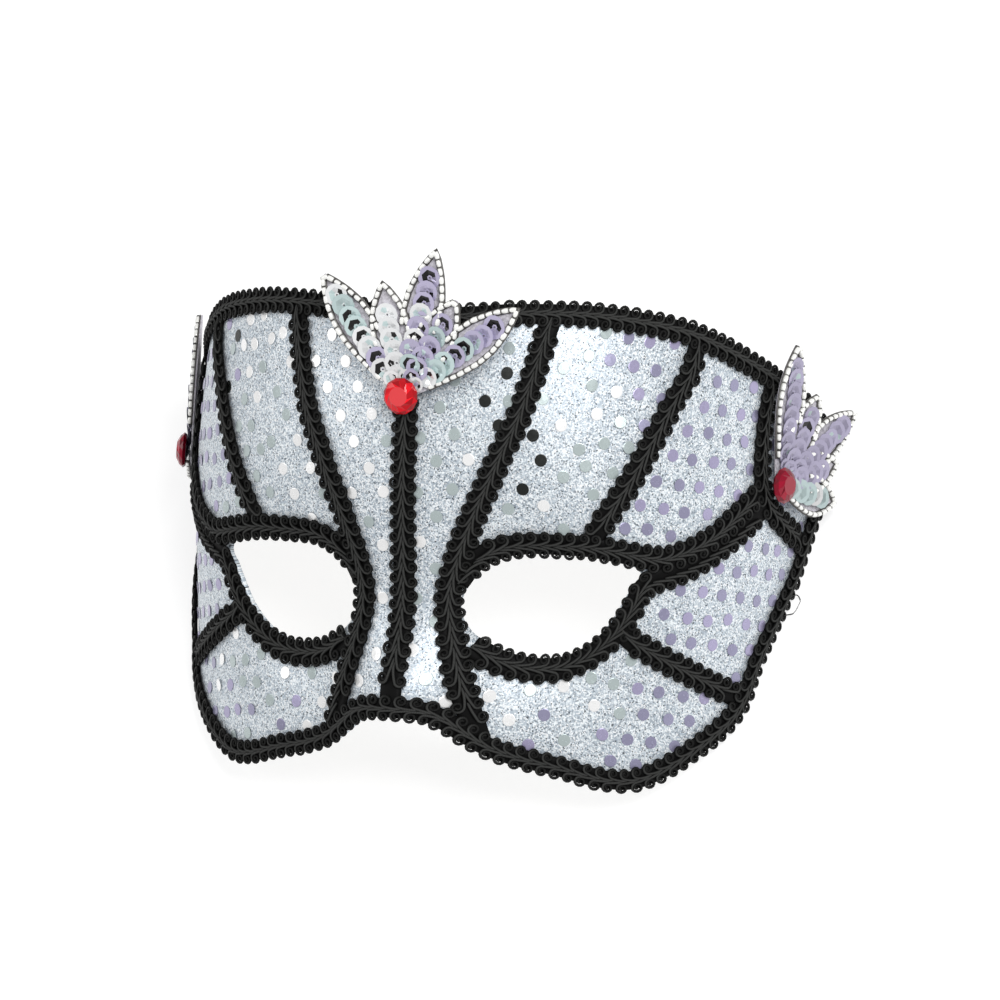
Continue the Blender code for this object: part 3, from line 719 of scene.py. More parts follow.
def bead_look(colours):
    """Clear silver-lined glass beads: bright, with painted shade at their ends where they meet, and the same
    painted shade on the flat strip below them.
    """
    shader = Shader("silver-lined glass beads")
    end = shader.part(shader.uv(), 0)
    # painted shade: the beads' ends and the strip below them are painted dark where shade falls between and
    # under the beads
    ring = shader.between(end, 0.72, 1.0)
    ground = shader.mix(ring * 0.95, tuple(colours.bead), (0.045, 0.040, 0.036))
    shader.fill(Base_Color=ground, Metallic=0.10, Roughness=0.12 + 0.3 * ring, Coat_Weight=0.6 - 0.6 * ring)
    return shader.material


def sequin_look():
    """Cupped sequins: mirror foil whose tint is set for each facet."""
    shader = Shader("cupped sequins")
    film = shader.noise(shader.place(), 350.0, 2.0)
    shader.fill(Base_Color=shader.tint(), Metallic=0.3, Roughness=0.10 + 0.14 * film)
    return shader.material


def backing_look():
    """The fans' stiff net backing: grey, fine woven grain."""
    shader = Shader("fan backing")
    weave = shader.noise(shader.place(), 1500.0, 2.0)
    ground = shader.mix(shader.between(weave, 0.3, 0.7), (0.46, 0.44, 0.48), (0.72, 0.70, 0.76))
    shader.fill(Base_Color=ground, Roughness=0.55 + 0.2 * weave, Normal=shader.bump(weave, 0.0001, 0.7))
    return shader.material


def stone_look():
    """Foil-backed red glass under a clear polish: its facets hold painted shading from deep crimson to bright
    red.
    """
    shader = Shader("red cut glass")
    cloud = shader.noise(shader.place(), 260.0, 2.0)
    shader.fill(Base_Color=shader.tint(), Roughness=0.06 + 0.05 * cloud, Specular_IOR_Level=0.35)
    return shader.material


def floor_look(colours):
    """A plain white studio floor that glows a little, with a faint grain."""
    shader = Shader("studio floor")
    grain = shader.noise(shader.place(), 60.0, 3.0)
    tone = tuple(colours.floor)
    ground = shader.mix(grain, tone, tuple(1.02 * part for part in tone))
    shader.fill(Base_Color=ground, Roughness=0.65 + 0.05 * grain, Specular_IOR_Level=0.0)
    shader.fill(Emission_Color=(1.0, 1.0, 1.0), Emission_Strength=FLOOR_GLOW)
    return shader.material


# The cloth

def cloth_loops():
    """Borders of the cloth: its outer edge and the two eye holes."""
    edge = beside(edge_braid_curve(), EDGE_BRAID_WIDTH / 2 - EDGE_OVERLAP, closed=True)
    edge = evenly(edge, CLOTH_PITCH, closed=True)
    eye = beside(smooth(eye_points(), closed=True), EYE_OVERLAP, closed=True)
    eye = evenly(eye, CLOTH_PITCH * EYE_FINENESS, closed=True)
    return [edge, eye, mirrored(eye)[::-1]]


def on_cloth(points, loops):
    """Which points lie on the cloth: inside its edge and outside both eye holes."""
    return inside(points, loops[0]) & ~inside(points, loops[1]) & ~inside(points, loops[2])


def cloth_fill(loops):
    """Points on staggered rows inside the cloth, off its borders."""
    row_step = CLOTH_PITCH * math.sqrt(3) / 2
    rows = np.arange(-CHEEK_DROP, CROWN_HEIGHT, row_step)
    columns = np.arange(-MASK_REACH, MASK_REACH, CLOTH_PITCH)
    shift = (np.arange(len(rows)) % 2) * CLOTH_PITCH / 2
    along = columns[None, :] + shift[:, None]
    up = np.broadcast_to(rows[:, None], along.shape)
    grid = np.stack([along.ravel(), up.ravel()], axis=-1)
    grid = grid[on_cloth(grid, loops)]
    return grid[nearest(grid, np.concatenate(loops)) > BORDER_ROOM * CLOTH_PITCH]


class MASK_OT_cloth(bpy.types.Operator):
    """Make the shell's cloth cover and bare inner face"""

    bl_idname = "mask.cloth"
    bl_label = "Cloth over the shell"

    def execute(self, context):
        colours = context.scene.mask_colours
        loops = cloth_loops()
        points = np.concatenate(loops + [cloth_fill(loops)])
        borders = []
        start = 0
        for loop in loops:
            ring = np.arange(start, start + len(loop))
            borders += list(zip(ring.tolist(), np.roll(ring, -1).tolist()))
            start += len(loop)
        corners, _, faces = delaunay_2d_cdt([Vector(p) for p in points], borders, [], 0, 1e-7)[:3]
        corners = np.array([c[:] for c in corners])
        faces = np.array(faces)
        faces = faces[on_cloth(corners[faces].mean(axis=1), loops)]
        flat = np.pad(corners, ((0, 0), (0, 1)))
        uv = corners[faces.ravel()] * PATTERN_SCALE
        looks = [cloth_look(colours), inside_look(colours)]
        cloth = make_piece("cloth_cover", press(flat), [faces], looks, uv=uv)
        wall = cloth.modifiers.new("Wall", "SOLIDIFY")
        wall.thickness = SHELL_THICKNESS
        wall.offset = -1.0
        wall.use_even_offset = True
        wall.material_offset = 1
        fit(cloth, "cloth", "mask_shell")
        return {"FINISHED"}


# The spangles

# The slanting lattices of spangles on the brow's cloth and on the right temple's and cheek's.
# Columns: a spangle's place, the two steps to its neighbours, each as (along, up) in metres.
BROW_LATTICE = ((-0.0147, 0.0550), (0.0046, -0.0063), (0.0047, 0.0073))
SIDE_LATTICE = ((0.0794, 0.0011), (0.0064, -0.0015), (-0.0048, -0.00575))
SIDE_START = 0.046
SPANGLE_ROOM = 0.0050
DARK_ROOM = 0.0045
BRAID_TUCK = 0.0006
SPANGLE_SIDES = 16
SPANGLE_THICKNESS = 0.00008
SPANGLE_SEAT = 0.00002
SPANGLE_WANDER = 0.0003

# A spangle from its back edge to its middle. Columns: radius and height as shares of its own.
SPANGLE_PROFILE = [(1.0, 0.0), (1.0, 0.6), (0.92, 1.0), (0.0, 1.0)]


def lattice(table):
    """Places of a lattice: its start plus whole counts of its two steps."""
    start, step, row = np.array(table)
    counts = np.arange(-45, 46)
    a, b = np.meshgrid(counts, counts)
    return start + a.reshape(-1, 1) * step + b.reshape(-1, 1) * row


def spangle_places():
    """Places of the spangles: two lattices and the ones painted with a dark reflection, on the cloth that
    shows between the braids.
    """
    brow, sides = lattice(BROW_LATTICE), lattice(SIDE_LATTICE)
    sides = sides[sides[:, 0] > SIDE_START]
    brow = brow[(brow[:, 0] > -SIDE_START) & (nearest(brow, sides) > SPANGLE_ROOM)]
    places = np.concatenate([brow, sides, mirrored(sides)])
    places = np.concatenate([places[nearest(places, DARK_REFLECTION_SPANGLES) > DARK_ROOM], DARK_REFLECTION_SPANGLES])
    places = places[on_cloth(places, cloth_loops())]
    lines = list(rib_curves().values())
    lines += [mirrored(line) for line in lines] + [centre_curve()]
    free = nearest(places, np.concatenate(lines)) > BRAID_WIDTH / 2 - BRAID_TUCK
    free &= nearest(places, edge_braid_curve()) > EDGE_BRAID_WIDTH / 2 - BRAID_TUCK
    return places[free]


def spangle_tints(places, rng):
    """A tint for each spangle: white over the brow as a painted reflection of the lamps, grey-green among
    them, lavender to the sides and the cheeks, and a few near black as a painted dark reflection."""
    chance = rng.random(len(places))[:, None]
    along, up = places[:, :1], places[:, 1:2]
    start = np.where(along < 0, 0.062, 0.046)
    side = np.clip((np.abs(along - 0.004) - start) / 0.014, 0.0, 1.0)
    low = np.clip((-0.022 - up) / 0.012, 0.0, 1.0) * 0.7
    lavender = np.maximum(side, low)
    # painted reflection: most spangles over the brow are painted white as the lamps' reflection
    white = np.where((along < -0.002) & (along > -0.040), 0.85, 0.30)
    pale = np.where(chance < white, SPANGLE_PAINTED_REFLECTION, SPANGLE_GREY)
    violet = np.where(chance < 0.5, SPANGLE_LAVENDER, SPANGLE_VIOLET)
    tints = np.where(rng.random(len(places))[:, None] < lavender, violet, pale)
    # painted dark reflection: the listed spangles are painted near black
    tints[nearest(places, DARK_REFLECTION_SPANGLES) < 0.001] = SPANGLE_PAINTED_DARK_REFLECTION
    return tints


class MASK_OT_spangles(bpy.types.Operator):
    """Scatter the flat round spangles on the cloth in their slanting rows"""

    bl_idname = "mask.spangles"
    bl_label = "Spangles on the cloth"

    def execute(self, context):
        trims = context.scene.mask_trims
        rng = np.random.default_rng(trims.seed)
        places = spangle_places()
        tints = spangle_tints(places, rng)
        places = places + rng.normal(0.0, SPANGLE_WANDER, places.shape)
        count = len(places)
        turns = ring_turns(SPANGLE_SIDES)
        ring = np.stack([np.cos(turns), np.sin(turns)], axis=-1)
        disc = np.stack([np.pad(ring * r, ((0, 0), (0, 1)), constant_values=h) for r, h in SPANGLE_PROFILE])
        lean = rng.normal(0.0, trims.spangle_jitter, (count, 2))
        flat = np.zeros((count, len(SPANGLE_PROFILE), SPANGLE_SIDES, 3))
        flat[..., :2] = places[:, None, None] + disc[None, ..., :2] * trims.spangle_radius
        tip = (disc[None, ..., :2] * lean[:, None, None]).sum(axis=-1) * trims.spangle_radius
        droop = np.abs(lean).sum(axis=1)[:, None, None] * trims.spangle_radius
        flat[..., 2] = SPANGLE_SEAT + disc[None, ..., 2] * SPANGLE_THICKNESS + tip + droop
        faces = lattice_faces(count, len(SPANGLE_PROFILE), SPANGLE_SIDES)
        tint = np.broadcast_to(tints[:, None], (count, faces[0].size, 3))
        points, blocks, _, tints = join_blocks([(press(flat), [(faces, None, tint)])])
        piece = make_piece("cloth_spangles", points, blocks, [spangle_look()], tint=tints, rounded=False)
        fit(piece, "cloth")
        return {"FINISHED"}


# The braid

TAIL_LENGTH = 0.0046
TAIL_START = 0.00012
TAIL_STATIONS = 9
CURL_STATIONS = 20
CORD_SIDES = 7
TUCKED_RISE = 0.00085
CREST_RISE = 0.00150
CURL_RISE = 0.00080
CURL_SHRINK = 0.80
CURL_SHRINK_POWER = 1.5
WEB_MARGIN = 0.0012
JUNCTION_OVERLAP = 0.0002
JUNCTION_REACH = 0.0006
TAIL_ARCH = 0.72
CURL_FALL = 5.0
CURL_WANDER = 0.00010
CURL_VARIATION = 0.05


class Route:
    """A braid's centre line in the pattern, read by the distance along it."""

    def __init__(self, curve, closed=False):
        self.closed = closed
        self.curve = np.concatenate([curve, curve[:1]]) if closed else curve
        side = left_of(curve, closed)
        self.side = np.concatenate([side, side[:1]]) if closed else side
        steps = np.linalg.norm(np.diff(self.curve, axis=0), axis=1)
        self.arc = np.concatenate([[0.0], np.cumsum(steps)])
        self.length = self.arc[-1]

    def at(self, distance, across):
        """Pattern points at a distance along the line and across it to its left."""
        distance = np.mod(distance, self.length) if self.closed else np.clip(distance, 0.0, self.length)
        place = np.stack([np.interp(distance, self.arc, self.curve[:, i]) for i in range(2)], axis=-1)
        side = np.stack([np.interp(distance, self.arc, self.side[:, i]) for i in range(2)], axis=-1)
        return place + across[..., None] * side


def scroll_paths(route, half_width, side, trims, rng):
    """Cords of one side of a braid, (cord, station, 3). A tail runs out from the centre line by the square
    of its length and turns into a curl: a circle of slowly smaller radius at the braid's edge."""
    count = max(2, int(route.length / trims.curl_pitch))
    pitch = route.length / count
    centres = (np.arange(count) + (0.5 if side > 0 else 0.25)) * pitch
    centres = centres + rng.normal(0.0, CURL_WANDER, count)
    radius = trims.curl_radius * (1.0 + rng.normal(0.0, CURL_VARIATION, count))
    curl_across = half_width - trims.curl_radius - trims.cord_radius
    u = np.linspace(0.0, 1.0, TAIL_STATIONS, endpoint=False)[None, :]
    tail_along = -TAIL_LENGTH * (1.0 - u) * np.ones((count, 1))
    tail_across = TAIL_START + (curl_across - radius[:, None] - TAIL_START) * u ** 2
    climb = CREST_RISE - TUCKED_RISE
    tail_rise = TUCKED_RISE + climb * np.sin(math.pi * TAIL_ARCH * u) * np.ones((count, 1))
    v = np.linspace(0.0, 1.0, CURL_STATIONS)[None, :]
    angle = -math.pi / 2 + 2 * math.pi * trims.curl_turns * v
    shrink = radius[:, None] * (1.0 - CURL_SHRINK * v ** CURL_SHRINK_POWER)
    curl_along = shrink * np.cos(angle)
    curl_reach = curl_across + shrink * np.sin(angle)
    first_rise = TUCKED_RISE + climb * math.sin(math.pi * TAIL_ARCH)
    curl_rise = CURL_RISE + (first_rise - CURL_RISE) * np.exp(-CURL_FALL * v) * np.ones((count, 1))
    along = centres[:, None] + np.concatenate([tail_along, curl_along], axis=1)
    across = side * np.concatenate([tail_across, curl_reach], axis=1)
    rise = np.concatenate([tail_rise, curl_rise], axis=1)
    return np.concatenate([route.at(along, across), rise[..., None]], axis=-1)


def kept_scrolls(paths, rules):
    """The cords whose curl lies clear of each rule's braid: a curve, a distance and whether to be
    inside it."""
    middle = paths[:, TAIL_STATIONS:, :2].mean(axis=1)
    kept = np.ones(len(paths), dtype=bool)
    for curve, distance, within in rules:
        kept &= nearest(middle, curve) > distance
        if within:
            kept &= inside(middle, curve)
    return paths[kept]


def tube_block(paths, radius, sides):
    """Points and faces of closed tubes round the paths."""
    rings = tube_rings(paths, radius, sides)
    quads = lattice_faces(len(paths), paths.shape[1], sides)
    index = np.arange(rings[..., 0].size).reshape(rings.shape[:3])
    first = index[:, 0, ::-1]
    last = index[:, -1]
    ends = np.zeros(first.shape + (2,))
    return rings, [(quads, tube_uv(paths, sides), None), (first, ends, None), (last, ends, None)]


def web_block(curve, half_width, closed=False):
    """The braid's web: the section of WEB_SECTION carried along the curve."""
    side = left_of(curve, closed)
    across = np.array([c for c, _ in WEB_SECTION]) * half_width
    rise = np.array([r for _, r in WEB_SECTION]) * WEB_HEIGHT + CLEARANCE
    flat = curve[:, None, :] + side[:, None, :] * across[None, :, None]
    rise = np.broadcast_to(rise[None, :, None], flat.shape[:2] + (1,))
    return np.concatenate([flat, rise], axis=2)[None], bar_faces(len(curve), len(WEB_SECTION), closed)


def make_braid(name, node, curve, width, rules, trims, look, closed=False):
    """One length of corded braid in place of its node."""
    rng = np.random.default_rng(trims.seed + len(name) + int(1000 * abs(curve[0].sum())))
    half = width / 2
    route = Route(curve, closed)
    cords = [kept_scrolls(scroll_paths(route, half, side, trims, rng), rules) for side in (1, -1)]
    parts = [web_block(curve, half - WEB_MARGIN, closed)]
    parts += [tube_block(paths, trims.cord_radius, CORD_SIDES) for paths in cords if len(paths)]
    parts = [(press(cloud), faces) for cloud, faces in parts]
    points, blocks, uv, _ = join_blocks(parts)
    points[:, 2] = np.maximum(points[:, 2], 0.0)
    return fit(make_piece(name, points, blocks, [look], uv=uv), "braid", node)


def within_edge(curve, edge):
    """The part of a rib's centre line that lies inside the edge braid's."""
    return curve[inside(curve, edge) & (nearest(curve, edge) > JUNCTION_REACH)]


class MASK_OT_braids(bpy.types.Operator):
    """Make the corded braid along the edge and all ribs"""

    bl_idname = "mask.braids"
    bl_label = "Corded braid"

    def execute(self, context):
        trims, colours = context.scene.mask_trims, context.scene.mask_colours
        look = gimp_look(colours)
        edge = edge_braid_curve()
        make_braid("rim_scroll_braid", "rim_braid", edge, EDGE_BRAID_WIDTH, [], trims, look, closed=True)
        border = EDGE_BRAID_WIDTH / 2 + JUNCTION_OVERLAP
        rules = [(edge, border, True)]
        centre = within_edge(centre_curve(), edge)
        make_braid("centre_scroll_braid", "centre_braid", centre, BRAID_WIDTH, rules, trims, look)
        for base, curve in rib_curves().items():
            curve = within_edge(curve, edge)
            left_rules = [(c if within else mirrored(c), gap, within) for c, gap, within in rules]
            for side, line, side_rules in (("right", curve, rules), ("left", mirrored(curve), left_rules)):
                name = base.replace("_braid", "_scroll_braid_") + side
                make_braid(name, base + "_" + side, line, BRAID_WIDTH, side_rules, trims, look)
            rules.append((curve, BRAID_WIDTH / 2 + JUNCTION_OVERLAP, False))
        return {"FINISHED"}


# The fans

BACKING_ROWS = 24
BACKING_START = 0.04
BACKING_THICKNESS = 0.0004
BEAD_RINGS = 5
BEAD_SIDES = 8
BEAD_SPACING = 1.04
BEAD_VARIATION = 0.06
BEAD_END = 0.42
BEAD_FULLNESS = 0.45
BORDER_INSET = 0.0004
BORDER_START = 0.18
BORDER_BRANCH = 0.46
BORDER_SEAT = 0.0005
BORDER_HALF_WIDTH = 0.00080
BORDER_THICKNESS = 0.0003
SEQUIN_SIDES = 12
SMALLEST_SEQUIN = 0.0019
SEQUIN_PITCH = 0.0032
FIRST_SEQUIN = 0.0052
LAST_SEQUIN = 0.0048
SEQUIN_TUCK = 0.0008
SEQUIN_SEAT = 0.0009
SEQUIN_CLIMB = 0.0004
SEQUIN_TIP = 0.17
SEQUIN_THICKNESS = 0.0001
SEQUIN_SPIN = 0.25
SEQUIN_WANDER = 0.0002

# A sequin from its rim to its middle. Columns: radius and height as shares of its radius, how far it is
# six-sided.
SEQUIN_PROFILE = [(1.00, 0.17, 0.0), (0.70, 0.15, 1.0), (0.24, 0.0, 1.0), (0.09, 0.0, 0.0)]


def fan_frame(along, up, turn, flare):
    """A fan's place on the upright mask as axes and origin: X along the middle leaf, Z off the cloth, tipped
    out by the flare."""
    here = np.array([along]), np.array([up])
    normal = Vector(outward(*here)[0])
    base = Vector(surface(*here)[0])
    side = Vector((0, 0, 1)).cross(normal).normalized()
    upward = normal.cross(side)
    leaf_way = side * math.cos(turn) + upward * math.sin(turn)
    across = normal.cross(leaf_way)
    lift = 2 * CLEARANCE + BRAID_THICKNESS + FAN_HUB_RADIUS * math.tan(flare) + LEAF_STAGGER
    axes = Matrix((leaf_way, across, normal)).transposed().to_4x4()
    return Matrix.Translation(base + normal * lift) @ axes @ Matrix.Rotation(-flare, 4, "Y")


def fans():
    """The three fans: side, place on the mask, whether it is mirrored, leaves, and its stone's depth."""
    centre = fan_frame(0.0, CENTRE_FAN_UP, CENTRE_FAN_TURN, CENTRE_FAN_FLARE)
    temple = fan_frame(SIDE_FAN_ALONG, SIDE_FAN_UP, SIDE_FAN_TURN, SIDE_FAN_FLARE)
    return [
        ("centre", centre, False, FOREHEAD_LEAVES, CLEAR_STONE),
        ("right", temple, False, TEMPLE_LEAVES, DEEP_STONE),
        ("left", temple, True, TEMPLE_LEAVES, DEEP_STONE),
    ]


def set_down(cloud, place, flip):
    """Points in a fan's own frame where they lie on the mask, mirrored to the left side if asked."""
    place = np.array(place)
    world = cloud @ place[:3, :3].T + place[:3, 3]
    if flip:
        world = world * np.array([-1.0, 1.0, 1.0])
    return lay(world)


def leaf_half_width(share):
    """Half width of a leaf at a share of its length, smooth through the table."""
    rows = np.array(LEAF_OUTLINE)
    return np.interp(share, rows[:, 0], rows[:, 1]) * LEAF_WIDTH / 2


def turned(points, angle):
    """Points turned about Z in the fan's frame."""
    cos, sin = np.cos(angle), np.sin(angle)
    x, y = points[..., 0], points[..., 1]
    return np.stack([cos * x - sin * y, sin * x + cos * y, points[..., 2]], axis=-1)


def leaf_backings(leaves):
    """Thin plates behind the leaves: a flat section as wide as the leaf, carried down its length."""
    parts = []
    shares = np.linspace(BACKING_START, 1.0, BACKING_ROWS)
    half = leaf_half_width(shares)
    for layer, (angle, share) in enumerate(leaves):
        x = shares * share * FAN_LENGTH
        low = np.full_like(x, layer * LEAF_STAGGER)
        high = low + BACKING_THICKNESS
        corners = [(x, -half, low), (x, half, low), (x, half, high), (x, -half, high)]
        section = np.stack([np.stack(corner, axis=-1) for corner in corners], axis=1)
        parts.append((turned(section, math.radians(angle))[None], bar_faces(len(x), 4)))
    return parts


def leaf_beads(leaves, trims, rng):
    """Beads end to end round each leaf: spindles whose radius follows the sine of their length."""
    parts = []
    for layer, (angle, share) in enumerate(leaves):
        length = share * FAN_LENGTH
        sides = []
        for across, outer in ((1.0, layer == 0), (-1.0, layer == len(leaves) - 1)):
            shares = np.linspace(BORDER_START if outer else BORDER_BRANCH, 1.0, 60)
            half = leaf_half_width(shares) - BORDER_INSET
            sides.append(np.stack([shares * length, across * half], axis=-1))
        rim = np.concatenate([sides[0], sides[1][::-1]])
        stations = evenly(rim, trims.bead_length * BEAD_SPACING)
        middle = (stations[1:] + stations[:-1]) / 2
        way = stations[1:] - stations[:-1]
        way /= np.linalg.norm(way, axis=1, keepdims=True)
        count = len(middle)
        side = np.stack([-way[:, 1], way[:, 0]], axis=-1)
        size = 1.0 + rng.normal(0.0, BEAD_VARIATION, count)[:, None, None]
        swellings = np.sin(np.linspace(BEAD_END, math.pi - BEAD_END, BEAD_RINGS)) ** BEAD_FULLNESS
        places = np.linspace(-0.5, 0.5, BEAD_RINGS)
        turns = ring_turns(BEAD_SIDES)
        radius = swellings[None, :, None] * trims.bead_radius * size
        across, high = np.cos(turns) * radius, np.sin(turns) * radius
        run = places[None, :, None] * trims.bead_length * size * np.ones((1, 1, BEAD_SIDES))
        flat = middle[:, None, None] + run[..., None] * way[:, None, None]
        flat = flat + across[..., None] * side[:, None, None]
        height = high + trims.bead_radius + BORDER_SEAT + layer * LEAF_STAGGER
        cloud = turned(np.concatenate([flat, height[..., None]], axis=-1), math.radians(angle))
        quads = lattice_faces(count, BEAD_RINGS, BEAD_SIDES)[..., ::-1]
        ends = np.abs(places) * 2.0
        near, far = ends[:-1], ends[1:]
        ring_uv = np.stack([far, far, near, near], axis=-1)
        uv = np.broadcast_to(ring_uv[None, :, None, :, None], quads.shape + (1,))
        uv = np.concatenate([uv, np.zeros_like(uv)], axis=-1)
        index = np.arange(cloud[..., 0].size).reshape(cloud.shape[:3])
        cap = np.ones((count, BEAD_SIDES, 2))
        parts.append((cloud, [(quads, uv, None), (index[:, 0], cap, None), (index[:, -1, ::-1], cap, None)]))
        # painted shade: a dark strip under the beads
        parts.append(painted_shade_strip(stations, angle, BORDER_SEAT + layer * LEAF_STAGGER))
    return parts


def painted_shade_strip(stations, angle, seat):
    """A flat strip below a border's beads that carries painted shade, seen as dark outlines beside them: a
    section of four corners.
    """
    side = left_of(stations)
    section = []
    for across, rise in ((-1.0, 0.0), (1.0, 0.0), (1.0, BORDER_THICKNESS), (-1.0, BORDER_THICKNESS)):
        edge = stations + side * across * BORDER_HALF_WIDTH
        section.append(np.concatenate([edge, np.full((len(edge), 1), seat + rise)], axis=1))
    cloud = turned(np.stack(section, axis=1), math.radians(angle))[None]
    return cloud, bar_faces(len(stations), 4, mark=1.0)


def sequin_places(leaves, trims, rng):
    """Where the sequins lie on a fan: (x, y, height, leaf angle, radius), in one row down each leaf."""
    rows = []
    for layer, (angle, share) in enumerate(leaves):
        length = share * FAN_LENGTH
        for x in np.arange(FIRST_SEQUIN, length - LAST_SEQUIN, SEQUIN_PITCH):
            room = float(leaf_half_width(x / length)) - BORDER_INSET - trims.bead_radius
            radius = min(trims.sequin_radius, max(room + SEQUIN_TUCK, SMALLEST_SEQUIN))
            height = SEQUIN_SEAT + (length - x) / length * SEQUIN_CLIMB + layer * LEAF_STAGGER
            rows.append((x, 0.0, height, math.radians(angle), radius))
    table = np.array(rows)
    table[:, :2] += rng.normal(0.0, SEQUIN_WANDER, (len(table), 2))
    return table


def sequin_tints(table, side_fan, rng):
    """Tints of each sequin's facets, (sequin, ring, facet, 3): a pale rim, and a cup whose facets towards
    the leaf's tip are mostly painted near black as a painted dark reflection. On the forehead white lies to
    the left and the base, lavender to the right. At the temples all are lavender, with clear mint ones on
    the lowest leaf."""
    count = len(table)
    reach = table[:, 0] * np.cos(table[:, 3]) / FAN_LENGTH
    left = table[:, 0] * np.sin(table[:, 3]) / FAN_LENGTH
    choice = rng.random(count)
    if side_fan:
        low = table[:, 3] < math.radians(-30)
        white = np.where(low, 0.25, 0.04)
        mint = np.where(low, 0.65, 0.10)
        dark_reflection_share = 0.02
        mint_share = 0.05
    else:
        white = np.clip(0.55 + 0.9 * left - 0.45 * reach, 0.12, 0.9)
        mint = np.full(count, 0.16)
        dark_reflection_share = 0.55
        mint_share = 0.18
    rim = np.where((choice < white)[:, None], SEQUIN_WHITE, SEQUIN_LAVENDER)
    rim = np.where((choice > 1.0 - mint)[:, None], SEQUIN_MINT, rim)
    tints = np.repeat(rim[:, None, None], 3, axis=1).repeat(SEQUIN_SIDES, axis=2)
    facet = np.arange(SEQUIN_SIDES) // 2
    toward_tip = np.isin(facet, (0, 5, 1))
    # painted dark reflection: facets towards the tip, and a few at random, are painted near black
    dark = toward_tip[None, :] & (rng.random(count) < dark_reflection_share)[:, None]
    dark |= rng.random((count, 6))[:, facet] < dark_reflection_share * 0.35
    tints[:, 1] = tints[:, 1] * rng.uniform(0.78, 1.0, (count, 6))[:, facet, None]
    tints[:, 1][dark] = SEQUIN_PAINTED_DARK_REFLECTION
    mint_facet = rng.random((count, 6))[:, facet] < mint_share
    tints[:, 1][mint_facet & ~dark] = SEQUIN_MINT
    tints[:, 2] = tints[:, 0]
    shade = SIDE_FAN_SHADE if side_fan else 1.0
    return tints * shade * rng.uniform(0.88, 1.04, (count, 1, 1, 1))


def fan_sequins(leaves, side_fan, trims, rng):
    """Cupped sequins: a flat rim, a six-sided cup and its small flat middle, tipped up to the leaf's tip."""
    table = sequin_places(leaves, trims, rng)
    count = len(table)
    turns = ring_turns(SEQUIN_SIDES)
    hexagon = math.cos(math.pi / 6) / np.cos((turns + math.pi / 6) % (math.pi / 3) - math.pi / 6)
    rings = []
    for share, height, six in SEQUIN_PROFILE:
        reach = share * (1.0 + six * (hexagon - 1.0))
        level = np.full(SEQUIN_SIDES, height)
        rings.append(np.stack([reach * np.cos(turns), reach * np.sin(turns), level], axis=-1))
    cup = np.array(rings)[None] * table[:, 4, None, None, None] * rng.uniform(0.95, 1.04, (count, 1, 1, 1))
    cup = turned(cup, rng.normal(0.0, SEQUIN_SPIN, count)[:, None, None])
    tip = (SEQUIN_TIP + rng.normal(0.0, 0.03, count))[:, None, None]
    roll = rng.normal(0.0, 0.05, count)[:, None, None]
    cup[..., 2] += cup[..., 0] * tip + cup[..., 1] * roll
    cloud = turned(cup + table[:, None, None, :3], table[:, 3, None, None])
    quads = lattice_faces(count, len(SEQUIN_PROFILE), SEQUIN_SIDES)
    tint = np.repeat(sequin_tints(table, side_fan, rng)[:, :, :, None], 4, axis=3)
    under = cloud - np.array([0.0, 0.0, SEQUIN_THICKNESS])
    return [(cloud, [(quads, None, tint)]), (under, [(quads[..., ::-1], None, tint)])]


def oriented(parts, place, flip):
    """Parts in a fan's frame set down on the mask, with their faces turned round where they are mirrored."""
    done = []
    for cloud, faces in parts:
        blocks = []
        for block, uv, tint in faces:
            if flip:
                block = block[..., ::-1]
                uv = None if uv is None else uv[..., ::-1, :]
                tint = None if tint is None else tint[..., ::-1, :]
            blocks.append((block, uv, tint))
        done.append((set_down(cloud, place, flip), blocks))
    return done


class MASK_OT_fans(bpy.types.Operator):
    """Make the three fans: net backings, bead borders and cupped sequins"""

    bl_idname = "mask.fans"
    bl_label = "Sequin fans"

    def execute(self, context):
        trims, colours = context.scene.mask_trims, context.scene.mask_colours
        looks = {"backing": backing_look(), "beads": bead_look(colours), "sequins": sequin_look()}
        for order, (side, place, flip, leaves, _) in enumerate(fans()):
            rng = np.random.default_rng(trims.seed + order)
            groups = {
                "backing": leaf_backings(leaves),
                "beads": leaf_beads(leaves, trims, rng),
                "sequins": fan_sequins(leaves, side != "centre", trims, rng),
            }
            for kind, parts in groups.items():
                points, blocks, uv, tint = join_blocks(oriented(parts, place, flip))
                rounded = kind == "beads"
                piece = make_piece(side + "_fan_" + kind, points, blocks, [looks[kind]], uv, tint, rounded)
                fit(piece, "sequins", side + "_fan")
        return {"FINISHED"}


# The stones

STONE_FACETS = 12
# painted highlight on a stone's table, and painted shade on its back
TABLE_PAINTED_HIGHLIGHT = 0.05
BACK_SHADE = 0.2

# Painted shading of a stone's facets, as shares from the girdle to the table, and how far each may stray.
FACET_PAINTED_SHADING = np.array([0.32, 0.70, 1.05])
FACET_STRAY = (0.45, 1.45)

# Rings of a stone, from its back. Columns: radius and height as shares of the stone's, turn in facets.
STONE_RINGS = [(0.90, 0.00, 0.0), (1.00, 0.28, 0.0), (0.84, 0.66, 0.5), (0.52, 1.00, 0.0)]


def painted_facet_tints(rng, colour):
    """Tints of a stone's facets with painted shading: deep at the girdle, brighter to the table, each a
    little apart.
    """
    stray = rng.uniform(*FACET_STRAY, (len(FACET_PAINTED_SHADING), STONE_FACETS, 1, 1))
    tint = np.clip(FACET_PAINTED_SHADING[:, None, None, None] * stray * colour, 0.0, 1.0)
    return tint * np.ones((1, 1, 3, 1))


